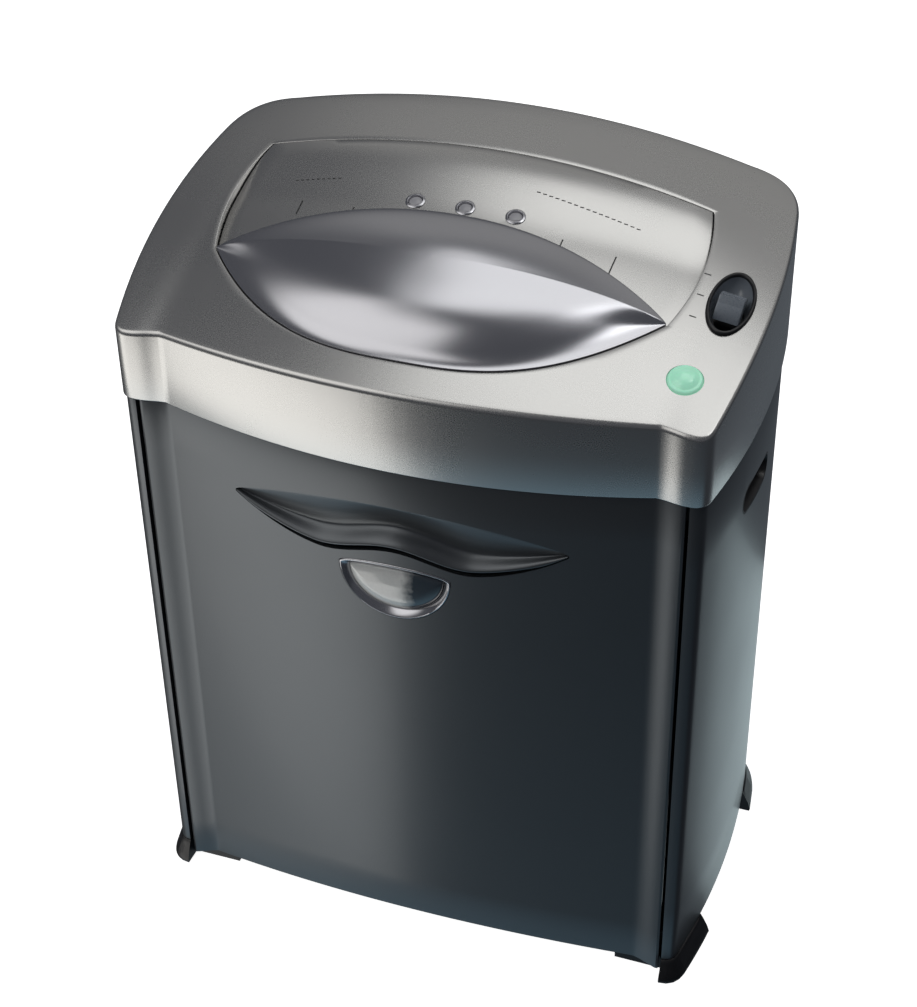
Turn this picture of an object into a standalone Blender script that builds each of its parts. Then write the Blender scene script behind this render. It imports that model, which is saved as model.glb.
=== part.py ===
"""Console paper shredder with a pull-out bin: every piece as its own closed solid, in metres, +Z up.

The origin is on the floor under the middle of the machine, +X is to the right of someone who faces
the front, and +Y points to the back. The casing is worked out from one bowed plan and one crowned
top, and the cutter block from its shaft spacing and gear teeth.
"""

import math

import bmesh
import bpy
from mathutils import Matrix, Vector

# ---- driving dimensions of the casing, metres --------------------------------------------------
HALF_WIDTH = 0.1935        # half the width at the corners
SIDE_BOW = 0.012           # how far each side bows out
CORNER_DEPTH = 0.230       # front corners to back corners
FRONT_BOW = 0.0255         # bow of the front between its corner posts
BACK_BOW = 0.0145          # bow of the back
BOW_END = 0.0315           # from the bowed part of the front to the corner
BOW_HALF = HALF_WIDTH - BOW_END
POST_STEP = 0.0025         # the posts stand this far in front of the ends of the bow
FRONT_CORNER = 0.010       # plan radius of the front corners
BACK_CORNER = 0.034        # plan radius of the back corners

FRONT_EDGE_Z = 0.4737      # top edge at the front corners
TOP_RISE = 0.044           # rise of the top edge from front to back
TOP_HUMP = 0.0085          # extra rise half way along the sides
FRONT_CROWN = 0.0088       # crown across the width, at the front
BACK_CROWN = 0.0255        # crown across the width, at the back
EDGE_ROUND = 0.004         # rounding along the top edge

SEAM_Z = 0.4245            # lower edge of the silver head
FOOT_HEIGHT = 0.018        # visible height of a foot
FOOT_FLARE = 0.005         # how far a foot stands out at the floor
FOOT_REACH = 0.050         # length of a foot along the side
BASE_Z = 0.033             # underside of the base
ARCH_MID_Z = 0.031         # lower edge of the bin front, in the middle
ARCH_END_Z = 0.011         # and at the ends of the bow

COVER_WALL = 0.0025
BODY_WALL = 0.003
BODY_INSET = 0.002         # the body stands this far inside the head's skirt
POST_WIDTH = 0.010         # the corner strip beside the bin front
SEAM_WIDTH = 0.0025        # between that strip and the bin front
POST_X = HALF_WIDTH - POST_WIDTH
PANEL_HALF = POST_X - SEAM_WIDTH
GAP = 0.0003               # between fixed neighbours
SLIDE_GAP = 0.0008         # between pieces that slide past each other

# ---- feed slot, hood and panel -----------------------------------------------------------------
FEED_X = -0.002            # middle of the feed slot
HOOD_HALF = 0.149          # half the length of the lens-shaped hood
TIPS_BEHIND_MID = -0.0455  # its two tips, behind the middle of the casing
HOOD_FRONT = 0.072         # reach of the lower arc in front of the tips
HOOD_BACK = 0.039          # reach of the upper arc behind the tips
HOOD_RISE = 0.014          # crown of the hood above the top
PANEL_SIDE = 0.155         # half the width of the panel behind the slot
PANEL_BEHIND_MID = 0.0575  # its back corners
PANEL_BACK_BOW = 0.010
PANEL_THICK = 0.003
RECESS = 0.006             # depth of the panel at the slot
THROAT = 0.224             # clear width of the slot
THROAT_GAP = 0.010         # its opening from front to rear
THROAT_BEHIND_MID = 0.0005 # middle of the slot
LAMPS_BEHIND_MID = 0.0135
LAMP_PITCH = 0.0337
LAMP_R = 0.0062

# ---- controls ----------------------------------------------------------------------------------
SWITCH_FROM_SIDE, SWITCH_BEHIND_MID = 0.014, -0.0155
SWITCH_HALF_X, SWITCH_HALF_Y = 0.0145, 0.0275
ROCKER_R = 0.0125
ROCKER_HALF = 0.0082
ROCKER_DROP = 0.009        # rocker axis below the surface
DISH_DEPTH = 0.0105        # down to the rocker's opening in its dish
BUTTON_FROM_SIDE, BUTTON_BEHIND_MID = 0.0255, -0.0800
BUTTON_R = 0.0108

# ---- cutter block and drive --------------------------------------------------------------------
SHAFT_SPACING = 0.035
CUTTER_Z = 0.446
DISC_R = 0.020
SPACER_R = 0.013
JOURNAL_R = 0.005
DISC_COUNT = 12
DISC_CLEARANCE = 0.0006
CUT_HALF = 0.1155          # half the length between the two cutter plates, less clearance
PLATE_THICK = 0.003
PLATE_CHAMFER = 0.006
PLATE_ROOM = 0.0010        # from the cutter plates' top corners to the feed panel
BUSH_R = 0.008
SYNC_TEETH = 20
FINAL_TEETH, FINAL_MODULE = 40, 0.0014
PINION_TEETH = 12
REDUCTION_TEETH, REDUCTION_MODULE = 48, 0.0011
REDUCTION_ANGLE = math.radians(33.2)   # from the rear cutter up to the reduction gear
MOTOR_ANGLE = math.radians(-10.0)      # from the reduction gear back to the motor
GEAR_WIDTH = 0.008
MOTOR_R, MOTOR_LENGTH = 0.030, 0.088
TOOTH_SLACK = 0.00016      # each flank is cut back by this much

# ---- bin ---------------------------------------------------------------------------------------
BIN_SIDE_ROOM = 0.011      # from the bin's side to the edge of its front
BIN_FRONT_SET, BIN_BACK_SET = 0.0085, 0.0165   # its walls, in from the corners of the plan
BIN_TOP = 0.346
BIN_WALL = 0.0022
BIN_TAPER = 0.004
RUNNER_HEIGHT = 0.005
TRAY_Z = 0.405             # underside of the head's floor pan
GRIP_HALF = 0.112
GRIP_TIP_Z = 0.376
GRIP_ARCH = 0.0195
LIP_HEIGHT = 0.008
LIP_PROUD = 0.0036         # the lip stands this far in front of the head's skirt
JAMB_DEPTH = 0.008
WINDOW_HALF = 0.038
WINDOW_TOP, WINDOW_BOTTOM = 0.350, 0.3065
SIDE_GRIP_BEHIND_MID, SIDE_GRIP_Z = -0.0085, 0.370
SIDE_GRIP_HALF, SIDE_GRIP_R = 0.034, 0.010
SIDE_GRIP_TILT = math.radians(-10.3)
SIDE_GRIP_DEPTH = 0.016

# ---- back panel and cord gland -----------------------------------------------------------------
BACK_EDGE_FROM_SIDE = 0.0365   # the side shells meet the back panel here
FLANGE_WIDTH = 0.024           # and their flanges reach this far behind it
SCREW_HEIGHTS = (0.075, 0.375)
SCREW_R = 0.0016
GLAND_FROM_SIDE, GLAND_Z, GLAND_R = 0.0735, 0.450, 0.0075

# ---- derived places ----------------------------------------------------------------------------
OVERALL_DEPTH = LIP_PROUD + FRONT_BOW + CORNER_DEPTH + BACK_BOW
FRONT_Y = -OVERALL_DEPTH / 2 + LIP_PROUD + FRONT_BOW
BACK_Y = FRONT_Y + CORNER_DEPTH
MID_Y = (FRONT_Y + BACK_Y) / 2
TIP_Y = MID_Y + TIPS_BEHIND_MID
PANEL_BACK = MID_Y + PANEL_BEHIND_MID
THROAT_Y = MID_Y + THROAT_BEHIND_MID
THROAT_FRONT = THROAT_Y - THROAT_GAP / 2
THROAT_REAR = THROAT_Y + THROAT_GAP / 2
LAMP_Y = MID_Y + LAMPS_BEHIND_MID
SWITCH_Y = MID_Y + SWITCH_BEHIND_MID
BUTTON_Y = MID_Y + BUTTON_BEHIND_MID
SIDE_GRIP_Y = MID_Y + SIDE_GRIP_BEHIND_MID
SWITCH_X = HALF_WIDTH - SWITCH_FROM_SIDE
BUTTON_X = HALF_WIDTH - BUTTON_FROM_SIDE
BIN_HALF = PANEL_HALF - BIN_SIDE_ROOM
BACK_EDGE = HALF_WIDTH - BACK_EDGE_FROM_SIDE
FLANGE_EDGE = BACK_EDGE - FLANGE_WIDTH
SCREW_X = BACK_EDGE - FLANGE_WIDTH / 2
GLAND_X = HALF_WIDTH - GLAND_FROM_SIDE
FEED_CENTRE = (FEED_X, TIP_Y + 0.0182)
BIN_FRONT_Y = FRONT_Y + BIN_FRONT_SET
BIN_BACK_Y = BACK_Y - BIN_BACK_SET
SENSOR_AXIS = (THROAT_REAR + 0.009, 0.502)
FRONT_SHAFT_Y = THROAT_Y - SHAFT_SPACING / 2
REAR_SHAFT_Y = THROAT_Y + SHAFT_SPACING / 2
LEFT_PLATE_X = FEED_X - CUT_HALF - PLATE_THICK
RIGHT_PLATE_X = FEED_X + CUT_HALF
PANEL_FACE = BODY_INSET + BODY_WALL
FLOOR_INSET = POST_WIDTH + 0.0018   # the base and the head's pan clear the door jambs

scene = bpy.context.scene
for old in list(bpy.data.objects):
    bpy.data.objects.remove(old, do_unlink=True)


# ---- materials ---------------------------------------------------------------------------------
def material(name, color, roughness, metallic=0.0):
    made = bpy.data.materials.new(name)
    made.use_nodes = True
    shader = made.node_tree.nodes["Principled BSDF"]
    shader.inputs["Base Color"].default_value = (*color, 1.0)
    shader.inputs["Roughness"].default_value = roughness
    shader.inputs["Metallic"].default_value = metallic
    return made


SILVER = material("silver_paint", (0.52, 0.51, 0.49), 0.35, 0.7)
HOOD_SILVER = material("hood_silver", (0.42, 0.42, 0.45), 0.22, 0.8)
CHARCOAL = material("charcoal_shell", (0.035, 0.042, 0.050), 0.35)
BLACK = material("black_plastic", (0.012, 0.012, 0.014), 0.5)
SLATE = material("slate_plastic", (0.06, 0.07, 0.085), 0.35)
GREEN = material("green_button", (0.24, 0.70, 0.45), 0.3)
LAMP = material("lamp_lens", (0.30, 0.30, 0.32), 0.3)
SMOKED = material("smoked_window", (0.10, 0.10, 0.11), 0.1)
STEEL = material("cutter_steel", (0.42, 0.42, 0.44), 0.35, 1.0)
ZINC = material("zinc_plate", (0.55, 0.55, 0.56), 0.45, 1.0)
BRONZE = material("bronze_bush", (0.45, 0.28, 0.12), 0.45, 1.0)
NYLON = material("nylon_gear", (0.75, 0.73, 0.66), 0.5)
BOARD = material("circuit_board", (0.02, 0.16, 0.08), 0.5)


# ---- making solids -----------------------------------------------------------------------------
def solid(name, points, faces, finish, matrix=None):
    """One named object from points and faces, with its faces turned outwards."""
    mesh = bpy.data.meshes.new(name)
    mesh.from_pydata([tuple(p) for p in points], [], faces)
    if matrix is not None:
        mesh.transform(matrix)
    form = bmesh.new()
    form.from_mesh(mesh)
    bmesh.ops.recalc_face_normals(form, faces=form.faces)
    form.to_mesh(mesh)
    form.free()
    mesh.shade_smooth()
    mesh.set_sharp_from_angle(angle=math.radians(35))
    made = bpy.data.objects.new(name, mesh)
    if finish is not None:
        mesh.materials.append(finish)
    scene.collection.objects.link(made)
    return made


def loft(name, rings, finish, matrix=None, closed=False):
    """Rings of equal length joined in order, with end caps, or back to the first ring if closed."""
    count = len(rings[0])
    points = [p for ring in rings for p in ring]
    faces = []
    steps = len(rings) if closed else len(rings) - 1
    for r in range(steps):
        a = r * count
        b = ((r + 1) % len(rings)) * count
        for i in range(count):
            j = (i + 1) % count
            faces.append((a + i, a + j, b + j, b + i))
    if not closed:
        faces.append(tuple(range(count))[::-1])
        faces.append(tuple(range((len(rings) - 1) * count, len(rings) * count)))
    return solid(name, points, faces, finish, matrix)


def prism(name, outline, low, high, finish, axis="Z", matrix=None):
    """An outline of (a, b) points, extruded: (x, y) along Z, (y, z) along X or (x, z) along Y."""
    place = {
        "Z": lambda a, b, c: (a, b, c),
        "X": lambda a, b, c: (c, a, b),
        "Y": lambda a, b, c: (a, c, b),
    }[axis]
    return loft(name, [[place(a, b, c) for a, b in outline] for c in (low, high)], finish, matrix)


def block(name, low, high, finish, matrix=None):
    outline = [(low[0], low[1]), (high[0], low[1]), (high[0], high[1]), (low[0], high[1])]
    return prism(name, outline, low[2], high[2], finish, "Z", matrix)


def turned(name, profile, segments, finish, matrix=None, closed=False):
    """A turned piece about the local Z axis: profile points are (radius, height)."""
    turns = [math.tau * i / segments for i in range(segments)]
    rings = [[(r * math.cos(t), r * math.sin(t), h) for t in turns] for r, h in profile]
    return loft(name, rings, finish, matrix, closed)


def helper(made):
    """Marks an object as a cutter, which is no part of the machine."""
    made.hide_render = True
    made.display_type = "WIRE"
    return made


def cut(made, cutter, operation="DIFFERENCE"):
    """Adds a Boolean with a cutter to an object."""
    step = made.modifiers.new(cutter.name, "BOOLEAN")
    step.operation = operation
    step.solver = "EXACT"
    step.object = helper(cutter)
    return made


def along_x(x, y, z):
    """Local Z along world +X, for turned pieces of the cutter block."""
    return Matrix.Translation((x, y, z)) @ Matrix.Rotation(math.pi / 2, 4, "Y")


def along_y(x, y, z):
    """Local Z along world +Y, towards the back."""
    return Matrix.Translation((x, y, z)) @ Matrix.Rotation(-math.pi / 2, 4, "X")


# ---- the plan and the crowned top --------------------------------------------------------------
def front_y(x, inset=0.0):
    """The front: a bow, then a flat post at each corner that steps forward a little."""
    a = abs(x)
    if a <= BOW_HALF:
        return FRONT_Y - FRONT_BOW * (1 - (a / BOW_HALF) ** 2) + inset
    step = min(1.0, (a - BOW_HALF) / (0.6 * (HALF_WIDTH - BOW_HALF)))
    return FRONT_Y - POST_STEP * step * step * (3 - 2 * step) + inset


def side_x(y, inset=0.0):
    t = (y - MID_Y) / (CORNER_DEPTH / 2)
    return HALF_WIDTH + SIDE_BOW * (1 - t * t) - inset


def back_y(x, inset=0.0):
    return BACK_Y + BACK_BOW * (1 - (x / HALF_WIDTH) ** 2) - inset


def bend(start, corner, end, count):
    """Points of a rounded corner, from start to end."""
    points = []
    for i in range(count + 1):
        t = i / count
        points.append(
            tuple((1 - t) ** 2 * a + 2 * t * (1 - t) * b + t * t * c
                  for a, b, c in zip(start, corner, end))
        )
    return points


def right_side(inset, x_front, x_back, corner_steps=3, side_steps=5):
    """The plan's right side, from x_front on the front, round both corners, to x_back on the back."""
    front_r = max(0.004, FRONT_CORNER - inset)
    back_r = max(0.004, BACK_CORNER - inset)
    edge_x = HALF_WIDTH - inset
    x1 = edge_x - front_r
    y1 = front_y(x1, inset)
    x2 = edge_x - back_r
    y2 = back_y(x2, inset)
    path = [(x_front, front_y(x_front, inset))] if x_front < x1 - 0.001 else []
    low, high = y1 + front_r, y2 - back_r
    path += bend((x1, y1), (side_x(y1, inset), y1), (side_x(low, inset), low), corner_steps)
    for i in range(1, side_steps):
        y = low + (high - low) * i / side_steps
        path.append((side_x(y, inset), y))
    path += bend((side_x(high, inset), high), (side_x(y2, inset), y2), (x2, y2), corner_steps + 1)
    if x_back < x2 - 0.001:
        path.append((x_back, back_y(x_back, inset)))
    return path


def plan(inset=0.0, front_steps=12, back_steps=8):
    """The closed plan of the machine, anticlockwise, moved inwards by inset."""
    points = []
    for i in range(front_steps + 1):
        x = -BOW_HALF + 2 * BOW_HALF * i / front_steps
        points.append((x, front_y(x, inset)))
    post_mid = BOW_HALF + 0.3 * (HALF_WIDTH - BOW_HALF)
    right = [(post_mid, front_y(post_mid, inset))]
    right += right_side(inset, post_mid, HALF_WIDTH)
    right = right[:1] + [p for p in right[1:] if p[0] > post_mid + 0.002 or p[1] > 0]
    x_end = right[-1][0]
    points += right
    for i in range(1, back_steps):
        x = x_end - 2 * x_end * i / back_steps
        points.append((x, back_y(x, inset)))
    points += [(-x, y) for x, y in reversed(right)]
    return points


def top_z(x, y):
    """Height of the crowned top."""
    start = front_y(x)
    u = min(1.0, max(0.0, (y - start) / (BACK_Y - start)))
    edge = FRONT_EDGE_Z + TOP_RISE * u + TOP_HUMP * 4 * u * (1 - u)
    crown = FRONT_CROWN + (BACK_CROWN - FRONT_CROWN) * math.sin(u * math.pi / 2)
    return edge + crown * (1 - (x / (HALF_WIDTH + SIDE_BOW)) ** 2)


def feed_z(x, y):
    """Top of the feed panel: deepest at the slot, and level with the cover at its back edge."""
    run = PANEL_BACK - THROAT_REAR
    u = min(1.0, max(0.0, (y - THROAT_REAR) / run))
    return top_z(x, y) - RECESS * (1 - u * u * (3 - 2 * u))


def surface_frame(x, y, height=top_z, lift=0.0):
    """A frame on the top: local Z is the surface's normal, local X runs to the right."""
    step = 0.002
    slope_x = (height(x + step, y) - height(x - step, y)) / (2 * step)
    slope_y = (height(x, y + step) - height(x, y - step)) / (2 * step)
    up = Vector((-slope_x, -slope_y, 1)).normalized()
    right = Vector((1, 0, slope_x)).normalized()
    back = up.cross(right)
    place = Vector((x, y, height(x, y))) + up * lift
    return Matrix.Translation(place) @ Matrix((right, back, up)).transposed().to_4x4()


def scaled(outline, factor, centre):
    cx, cy = centre
    return [(cx + (x - cx) * factor, cy + (y - cy) * factor) for x, y in outline]


def skin(outline, height):
    return [(x, y, height(x, y)) for x, y in outline]


# ---- outlines of the feed area -----------------------------------------------------------------
def lens_front(x):
    t = min(1.0, abs(x - FEED_X) / HOOD_HALF)
    return TIP_Y - HOOD_FRONT * (1 - t**2.6)


def lens_back(x):
    t = min(1.0, abs(x - FEED_X) / HOOD_HALF)
    return TIP_Y + HOOD_BACK * (1 - t**2.2)


def lens(inset=0.0, steps=16):
    """The hood's outline: two arcs between two pointed tips."""
    half = HOOD_HALF - 1.6 * inset
    xs = [FEED_X - half * math.cos(math.pi * i / steps) for i in range(steps + 1)]
    lower = [(x, lens_front(x) + inset * (1 if 0 < i < steps else 0)) for i, x in enumerate(xs)]
    upper = [(x, lens_back(x) - inset) for x in reversed(xs[1:-1])]
    return lower + upper


def feed_outline(grow=0.0, steps=16):
    """The feed panel's outline: the hood's lower arc, two side arcs and a bowed back edge."""
    half = HOOD_HALF
    xs = [FEED_X - half * math.cos(math.pi * i / steps) for i in range(steps + 1)]
    lower = [(x, lens_front(x)) for x in xs]
    right = []
    for i in range(1, 4):
        t = i / 4
        bulge = 4 * t * (1 - t) * 0.008
        x = FEED_X + half + (PANEL_SIDE - 0.004 - half) * t + bulge
        right.append((x, TIP_Y + (PANEL_BACK - TIP_Y) * t))
    back = []
    for i in range(7):
        t = 1 - 2 * i / 6
        back.append((FEED_X + (PANEL_SIDE - 0.004) * t, PANEL_BACK + PANEL_BACK_BOW * (1 - t * t)))
    left = [(2 * FEED_X - x, y) for x, y in reversed(right)]
    outline = lower + right + back + left
    if not grow:
        return outline
    centre = FEED_CENTRE
    grown = []
    for x, y in outline:
        reach = math.hypot(x - centre[0], y - centre[1])
        factor = 1 + 1.25 * grow / reach
        grown.append((centre[0] + (x - centre[0]) * factor, centre[1] + (y - centre[1]) * factor))
    return grown


# ---- head: cover, feed panel, hood -------------------------------------------------------------
def edge_ring(inset, drop):
    """A ring near the top edge: inset in plan, and this far below the top."""
    return [(x, y, top_z(x, y) - drop) for x, y in plan(inset)]


def make_top_cover():
    shrink = (0.84, 0.62, 0.36, 0.10)
    outer = [[(x, y, SEAM_Z) for x, y in plan()]]
    outer.append(edge_ring(0.0, EDGE_ROUND))
    outer.append(edge_ring(0.3 * EDGE_ROUND, 0.3 * EDGE_ROUND))
    outer.append(edge_ring(EDGE_ROUND, 0.0))
    rim = plan(EDGE_ROUND)
    outer += [skin(scaled(rim, s, (0, MID_Y)), top_z) for s in shrink]
    inner = [[(x, y, SEAM_Z) for x, y in plan(COVER_WALL)]]
    inner.append(edge_ring(COVER_WALL, EDGE_ROUND + COVER_WALL))
    inside = plan(EDGE_ROUND + COVER_WALL)
    inner.append([(x, y, top_z(x, y) - COVER_WALL * 1.2) for x, y in inside])
    for s in shrink:
        ring = scaled(rim, s, (0, MID_Y))
        inner.append([(x, y, top_z(x, y) - COVER_WALL) for x, y in ring])
    count = len(rim)
    points = [p for ring in outer + inner for p in ring]
    faces = []

    def join(a, b):
        for i in range(count):
            j = (i + 1) % count
            faces.append((a * count + i, a * count + j, b * count + j, b * count + i))

    for r in range(len(outer) - 1):
        join(r, r + 1)
    for r in range(len(outer), len(outer) + len(inner) - 1):
        join(r + 1, r)
    join(len(outer), 0)
    faces.append(tuple(range((len(outer) - 1) * count, len(outer) * count)))
    last = (len(outer) + len(inner) - 1) * count
    faces.append(tuple(range(last, last + count))[::-1])
    cover = solid("top_cover", points, faces, SILVER)

    opening = feed_outline(GAP)
    cut(cover, prism("feed_opening", opening, 0.44, 0.60, None))
    seat = surface_frame(SWITCH_X, SWITCH_Y)
    cut(cover, oval("switch_opening", SWITCH_HALF_X + GAP, SWITCH_HALF_Y + GAP, -0.02, 0.02, seat))
    seat = surface_frame(BUTTON_X, BUTTON_Y)
    hole = [(BUTTON_R + 2 * GAP, -0.02), (BUTTON_R + 2 * GAP, 0.02)]
    cut(cover, turned("button_opening", hole, 24, None, seat))
    hole = [(GLAND_R + GAP, -0.02), (GLAND_R + GAP, 0.02)]
    cut(cover, turned("gland_opening", hole, 16, None, along_y(GLAND_X, back_y(GLAND_X), GLAND_Z)))
    return cover


def oval(name, half_x, half_y, low, high, matrix, steps=24):
    turns = [math.tau * i / steps for i in range(steps)]
    outline = [(half_x * math.cos(t), half_y * math.sin(t)) for t in turns]
    return prism(name, outline, low, high, None, "Z", matrix)


def make_feed_panel():
    shrink = (1.0, 0.72, 0.42, 0.10)
    rim = feed_outline()
    over = [skin(scaled(rim, s, FEED_CENTRE), feed_z) for s in shrink]
    under = [[(x, y, z - PANEL_THICK) for x, y, z in ring] for ring in over]
    panel = loft("feed_panel", under[::-1] + over, SILVER)
    x0, x1 = FEED_X - THROAT / 2, FEED_X + THROAT / 2
    slot = [(x0, THROAT_FRONT), (x1, THROAT_FRONT), (x1, THROAT_REAR), (x0, THROAT_REAR)]
    cut(panel, prism("throat_opening", slot, 0.44, 0.60, None))
    for i, side in enumerate(("left", "centre", "right")):
        seat = surface_frame(FEED_X + (i - 1) * LAMP_PITCH, LAMP_Y, feed_z)
        hole = [(LAMP_R + GAP, -0.012), (LAMP_R + GAP, 0.012)]
        cut(panel, turned(f"lamp_opening_{side}", hole, 16, None, seat))
    return panel


def make_lamps():
    for i, side in enumerate(("left", "centre", "right")):
        seat = surface_frame(FEED_X + (i - 1) * LAMP_PITCH, LAMP_Y, feed_z)
        profile = [
            (LAMP_R - 0.002, -0.009),
            (LAMP_R, -0.0085),
            (LAMP_R, 0.0003),
            (LAMP_R * 0.72, 0.0008),
            (LAMP_R * 0.3, 0.0011),
        ]
        turned(f"status_lamp_{side}", profile, 16, LAMP, seat)


def hood_z(x, y, s):
    """Top of the hood at fraction s from its centre to its outline: a soft visor."""
    span = lens_back(x) - lens_front(x)
    rear = min(1.0, max(0.0, (y - lens_front(x)) / max(span, 1e-6)))
    lip = 0.0055 * rear**3 * math.sqrt(max(0.0, 1 - ((x - FEED_X) / HOOD_HALF) ** 2))
    return top_z(x, y) + 0.0004 + lip + (HOOD_RISE - lip) * (1 - s * s) ** 0.75


def make_feed_hood():
    rim = lens(GAP)
    centre = (FEED_X, -0.045)
    shrink = (1.0, 0.92, 0.76, 0.50, 0.14)
    foot = [(x, y, feed_z(x, y) + GAP) for x, y in rim]
    over = []
    for s in shrink:
        over.append([(x, y, hood_z(x, y, s)) for x, y in scaled(rim, s, centre)])
    inside = scaled(rim, 0.955, centre)
    under = [[(x, y, feed_z(x, y) + GAP) for x, y in inside]]
    under.append([(x, y, feed_z(x, y) + 0.003) for x, y in inside])
    for s in shrink[2:]:
        ring = scaled(rim, s * 0.98, centre)
        under.append([(x, y, max(hood_z(x, y, s) - 0.0026, feed_z(x, y) + 0.0034)) for x, y in ring])
    count = len(rim)
    rings = [foot] + over
    points = [p for ring in rings + under for p in ring]
    faces = []

    def join(a, b):
        for i in range(count):
            j = (i + 1) % count
            faces.append((a * count + i, a * count + j, b * count + j, b * count + i))

    for r in range(len(rings) - 1):
        join(r, r + 1)
    for r in range(len(rings), len(rings) + len(under) - 1):
        join(r + 1, r)
    join(len(rings), 0)
    faces.append(tuple(range((len(rings) - 1) * count, len(rings) * count)))
    last = (len(rings) + len(under) - 1) * count
    faces.append(tuple(range(last, last + count))[::-1])
    return solid("feed_hood", points, faces, HOOD_SILVER)


# ---- controls ----------------------------------------------------------------------------------
def make_mode_switch():
    seat = surface_frame(SWITCH_X, SWITCH_Y)
    hole_x, hole_y = ROCKER_HALF + 0.0012, ROCKER_R + 0.0022
    sections = [
        (SWITCH_HALF_X, SWITCH_HALF_Y, 0.0008),
        (SWITCH_HALF_X, SWITCH_HALF_Y, -DISH_DEPTH - 0.002),
        (hole_x, hole_y, -DISH_DEPTH - 0.002),
        (hole_x, hole_y, -DISH_DEPTH),
        (SWITCH_HALF_X - 0.0030, SWITCH_HALF_Y - 0.0042, -0.0055),
        (SWITCH_HALF_X - 0.0016, SWITCH_HALF_Y - 0.0018, 0.0008),
    ]
    steps = 24
    turns = [math.tau * i / steps for i in range(steps)]
    rings = [[(a * math.cos(t), b * math.sin(t), h) for t in turns] for a, b, h in sections]
    loft("switch_bezel", rings, BLACK, seat, closed=True)

    rocker = []
    for degrees in range(20, 161, 10):
        rib = 0.0022 * max(0.0, 1 - abs(degrees - 90) / 20)
        t = math.radians(degrees)
        rocker.append(((ROCKER_R + rib) * math.cos(t), (ROCKER_R + rib) * math.sin(t)))
    for degrees in range(200, 341, 35):
        t = math.radians(degrees)
        rocker.append((0.004 * math.cos(t), 0.004 * math.sin(t)))
    axis = seat @ Matrix.Translation((0, 0, -ROCKER_DROP))
    made = prism("mode_rocker", rocker, -ROCKER_HALF, ROCKER_HALF, SLATE, "X", axis)
    hinge(made, "mode_rocker_axis", axis.translation)

    low, high = (-0.011, -0.015, -0.032), (0.011, 0.015, -0.0165)
    block("switch_housing", low, high, BLACK, seat)
    print("mode rocker axis", tuple(round(v, 5) for v in axis.translation),
          "direction", tuple(round(v, 5) for v in seat.to_3x3().col[0]))


def make_power_button():
    seat = surface_frame(BUTTON_X, BUTTON_Y)
    flange = BUTTON_R + 0.0016
    profile = [
        (0.0035, -0.0120),
        (0.0035, -0.0050),
        (flange, -0.0050),
        (flange, -0.0034),
        (BUTTON_R, -0.0034),
        (BUTTON_R, 0.0010),
        (BUTTON_R * 0.90, 0.0024),
        (BUTTON_R * 0.62, 0.0037),
        (BUTTON_R * 0.25, 0.0043),
    ]
    made = turned("power_button", profile, 20, GREEN, seat)
    hinge(made, "power_button_axis", seat.translation)
    block("button_switch", (-0.010, -0.010, -0.0225), (0.010, 0.010, -0.0160), BLACK, seat)

    turns, steps, wire, radius = 4, 8, 0.0004, 0.0058
    low, high = -0.0160 + wire + GAP, -0.0050 - wire - GAP
    total = turns * steps
    points = []
    for i in range(total + 1):
        t = math.tau * i / steps
        points.append((radius * math.cos(t), radius * math.sin(t), low + (high - low) * i / total))
    rings = []
    for i, p in enumerate(points):
        here = Vector(p)
        ahead = Vector(points[min(i + 1, total)]) - Vector(points[max(i - 1, 0)])
        ahead.normalize()
        out = Vector((here.x, here.y, 0)).normalized()
        side = ahead.cross(out).normalized()
        rings.append([tuple(here + wire * (out * math.cos(a) + side * math.sin(a)))
                      for a in (math.tau * k / 4 for k in range(4))])
    loft("button_spring", rings, STEEL, seat)
    print("power button at", tuple(round(v, 5) for v in seat.translation),
          "normal", tuple(round(v, 5) for v in seat.to_3x3().col[2]))


def hinge(made, name, point):
    """Parents a moving piece to an empty on its joint's axis."""
    axis = bpy.data.objects.get(name)
    if axis is None:
        axis = bpy.data.objects.new(name, None)
        axis.location = point
        axis.empty_display_size = 0.01
        scene.collection.objects.link(axis)
    made.parent = axis
    made.matrix_parent_inverse = Matrix.Translation(axis.location).inverted()
    return made


# ---- gears -------------------------------------------------------------------------------------
def involute(angle):
    return math.tan(angle) - angle


def gear_outline(teeth, module, phase):
    """Trapezoid-like involute teeth, with one tooth's middle at the phase angle."""
    pitch_r = teeth * module / 2
    base_r = pitch_r * math.cos(math.radians(20))
    tip_r = pitch_r + 0.85 * module
    root_r = pitch_r - 1.2 * module
    half_at_pitch = math.pi / (2 * teeth) - TOOTH_SLACK / pitch_r
    pressure = involute(math.radians(20))

    def half_angle(radius):
        radius = max(radius, base_r)
        return half_at_pitch + pressure - involute(math.acos(base_r / radius))

    points = []
    for tooth in range(teeth):
        middle = phase + math.tau * tooth / teeth
        low = half_angle(root_r)
        high = half_angle(tip_r)
        for radius, turn in ((root_r, -low), (tip_r, -high), (tip_r, high), (root_r, low)):
            points.append((radius * math.cos(middle + turn), radius * math.sin(middle + turn)))
    return points


def gear(name, teeth, module, phase, x, centre, bore, finish, width=GEAR_WIDTH):
    outline = [(centre[0] + a, centre[1] + b) for a, b in gear_outline(teeth, module, phase)]
    made = prism(name, outline, x - width, x, finish, "X")
    if bore:
        hole = [(bore, -width - 0.004), (bore, 0.004)]
        cut(made, turned(name + "_bore", hole, 16, None, along_x(x, *centre)))
    return made


def facing(teeth, towards, gap=False):
    """Phase that puts a tooth, or a gap between teeth, at the angle towards the mating gear."""
    return towards + (math.pi / teeth if gap else 0.0)


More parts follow.
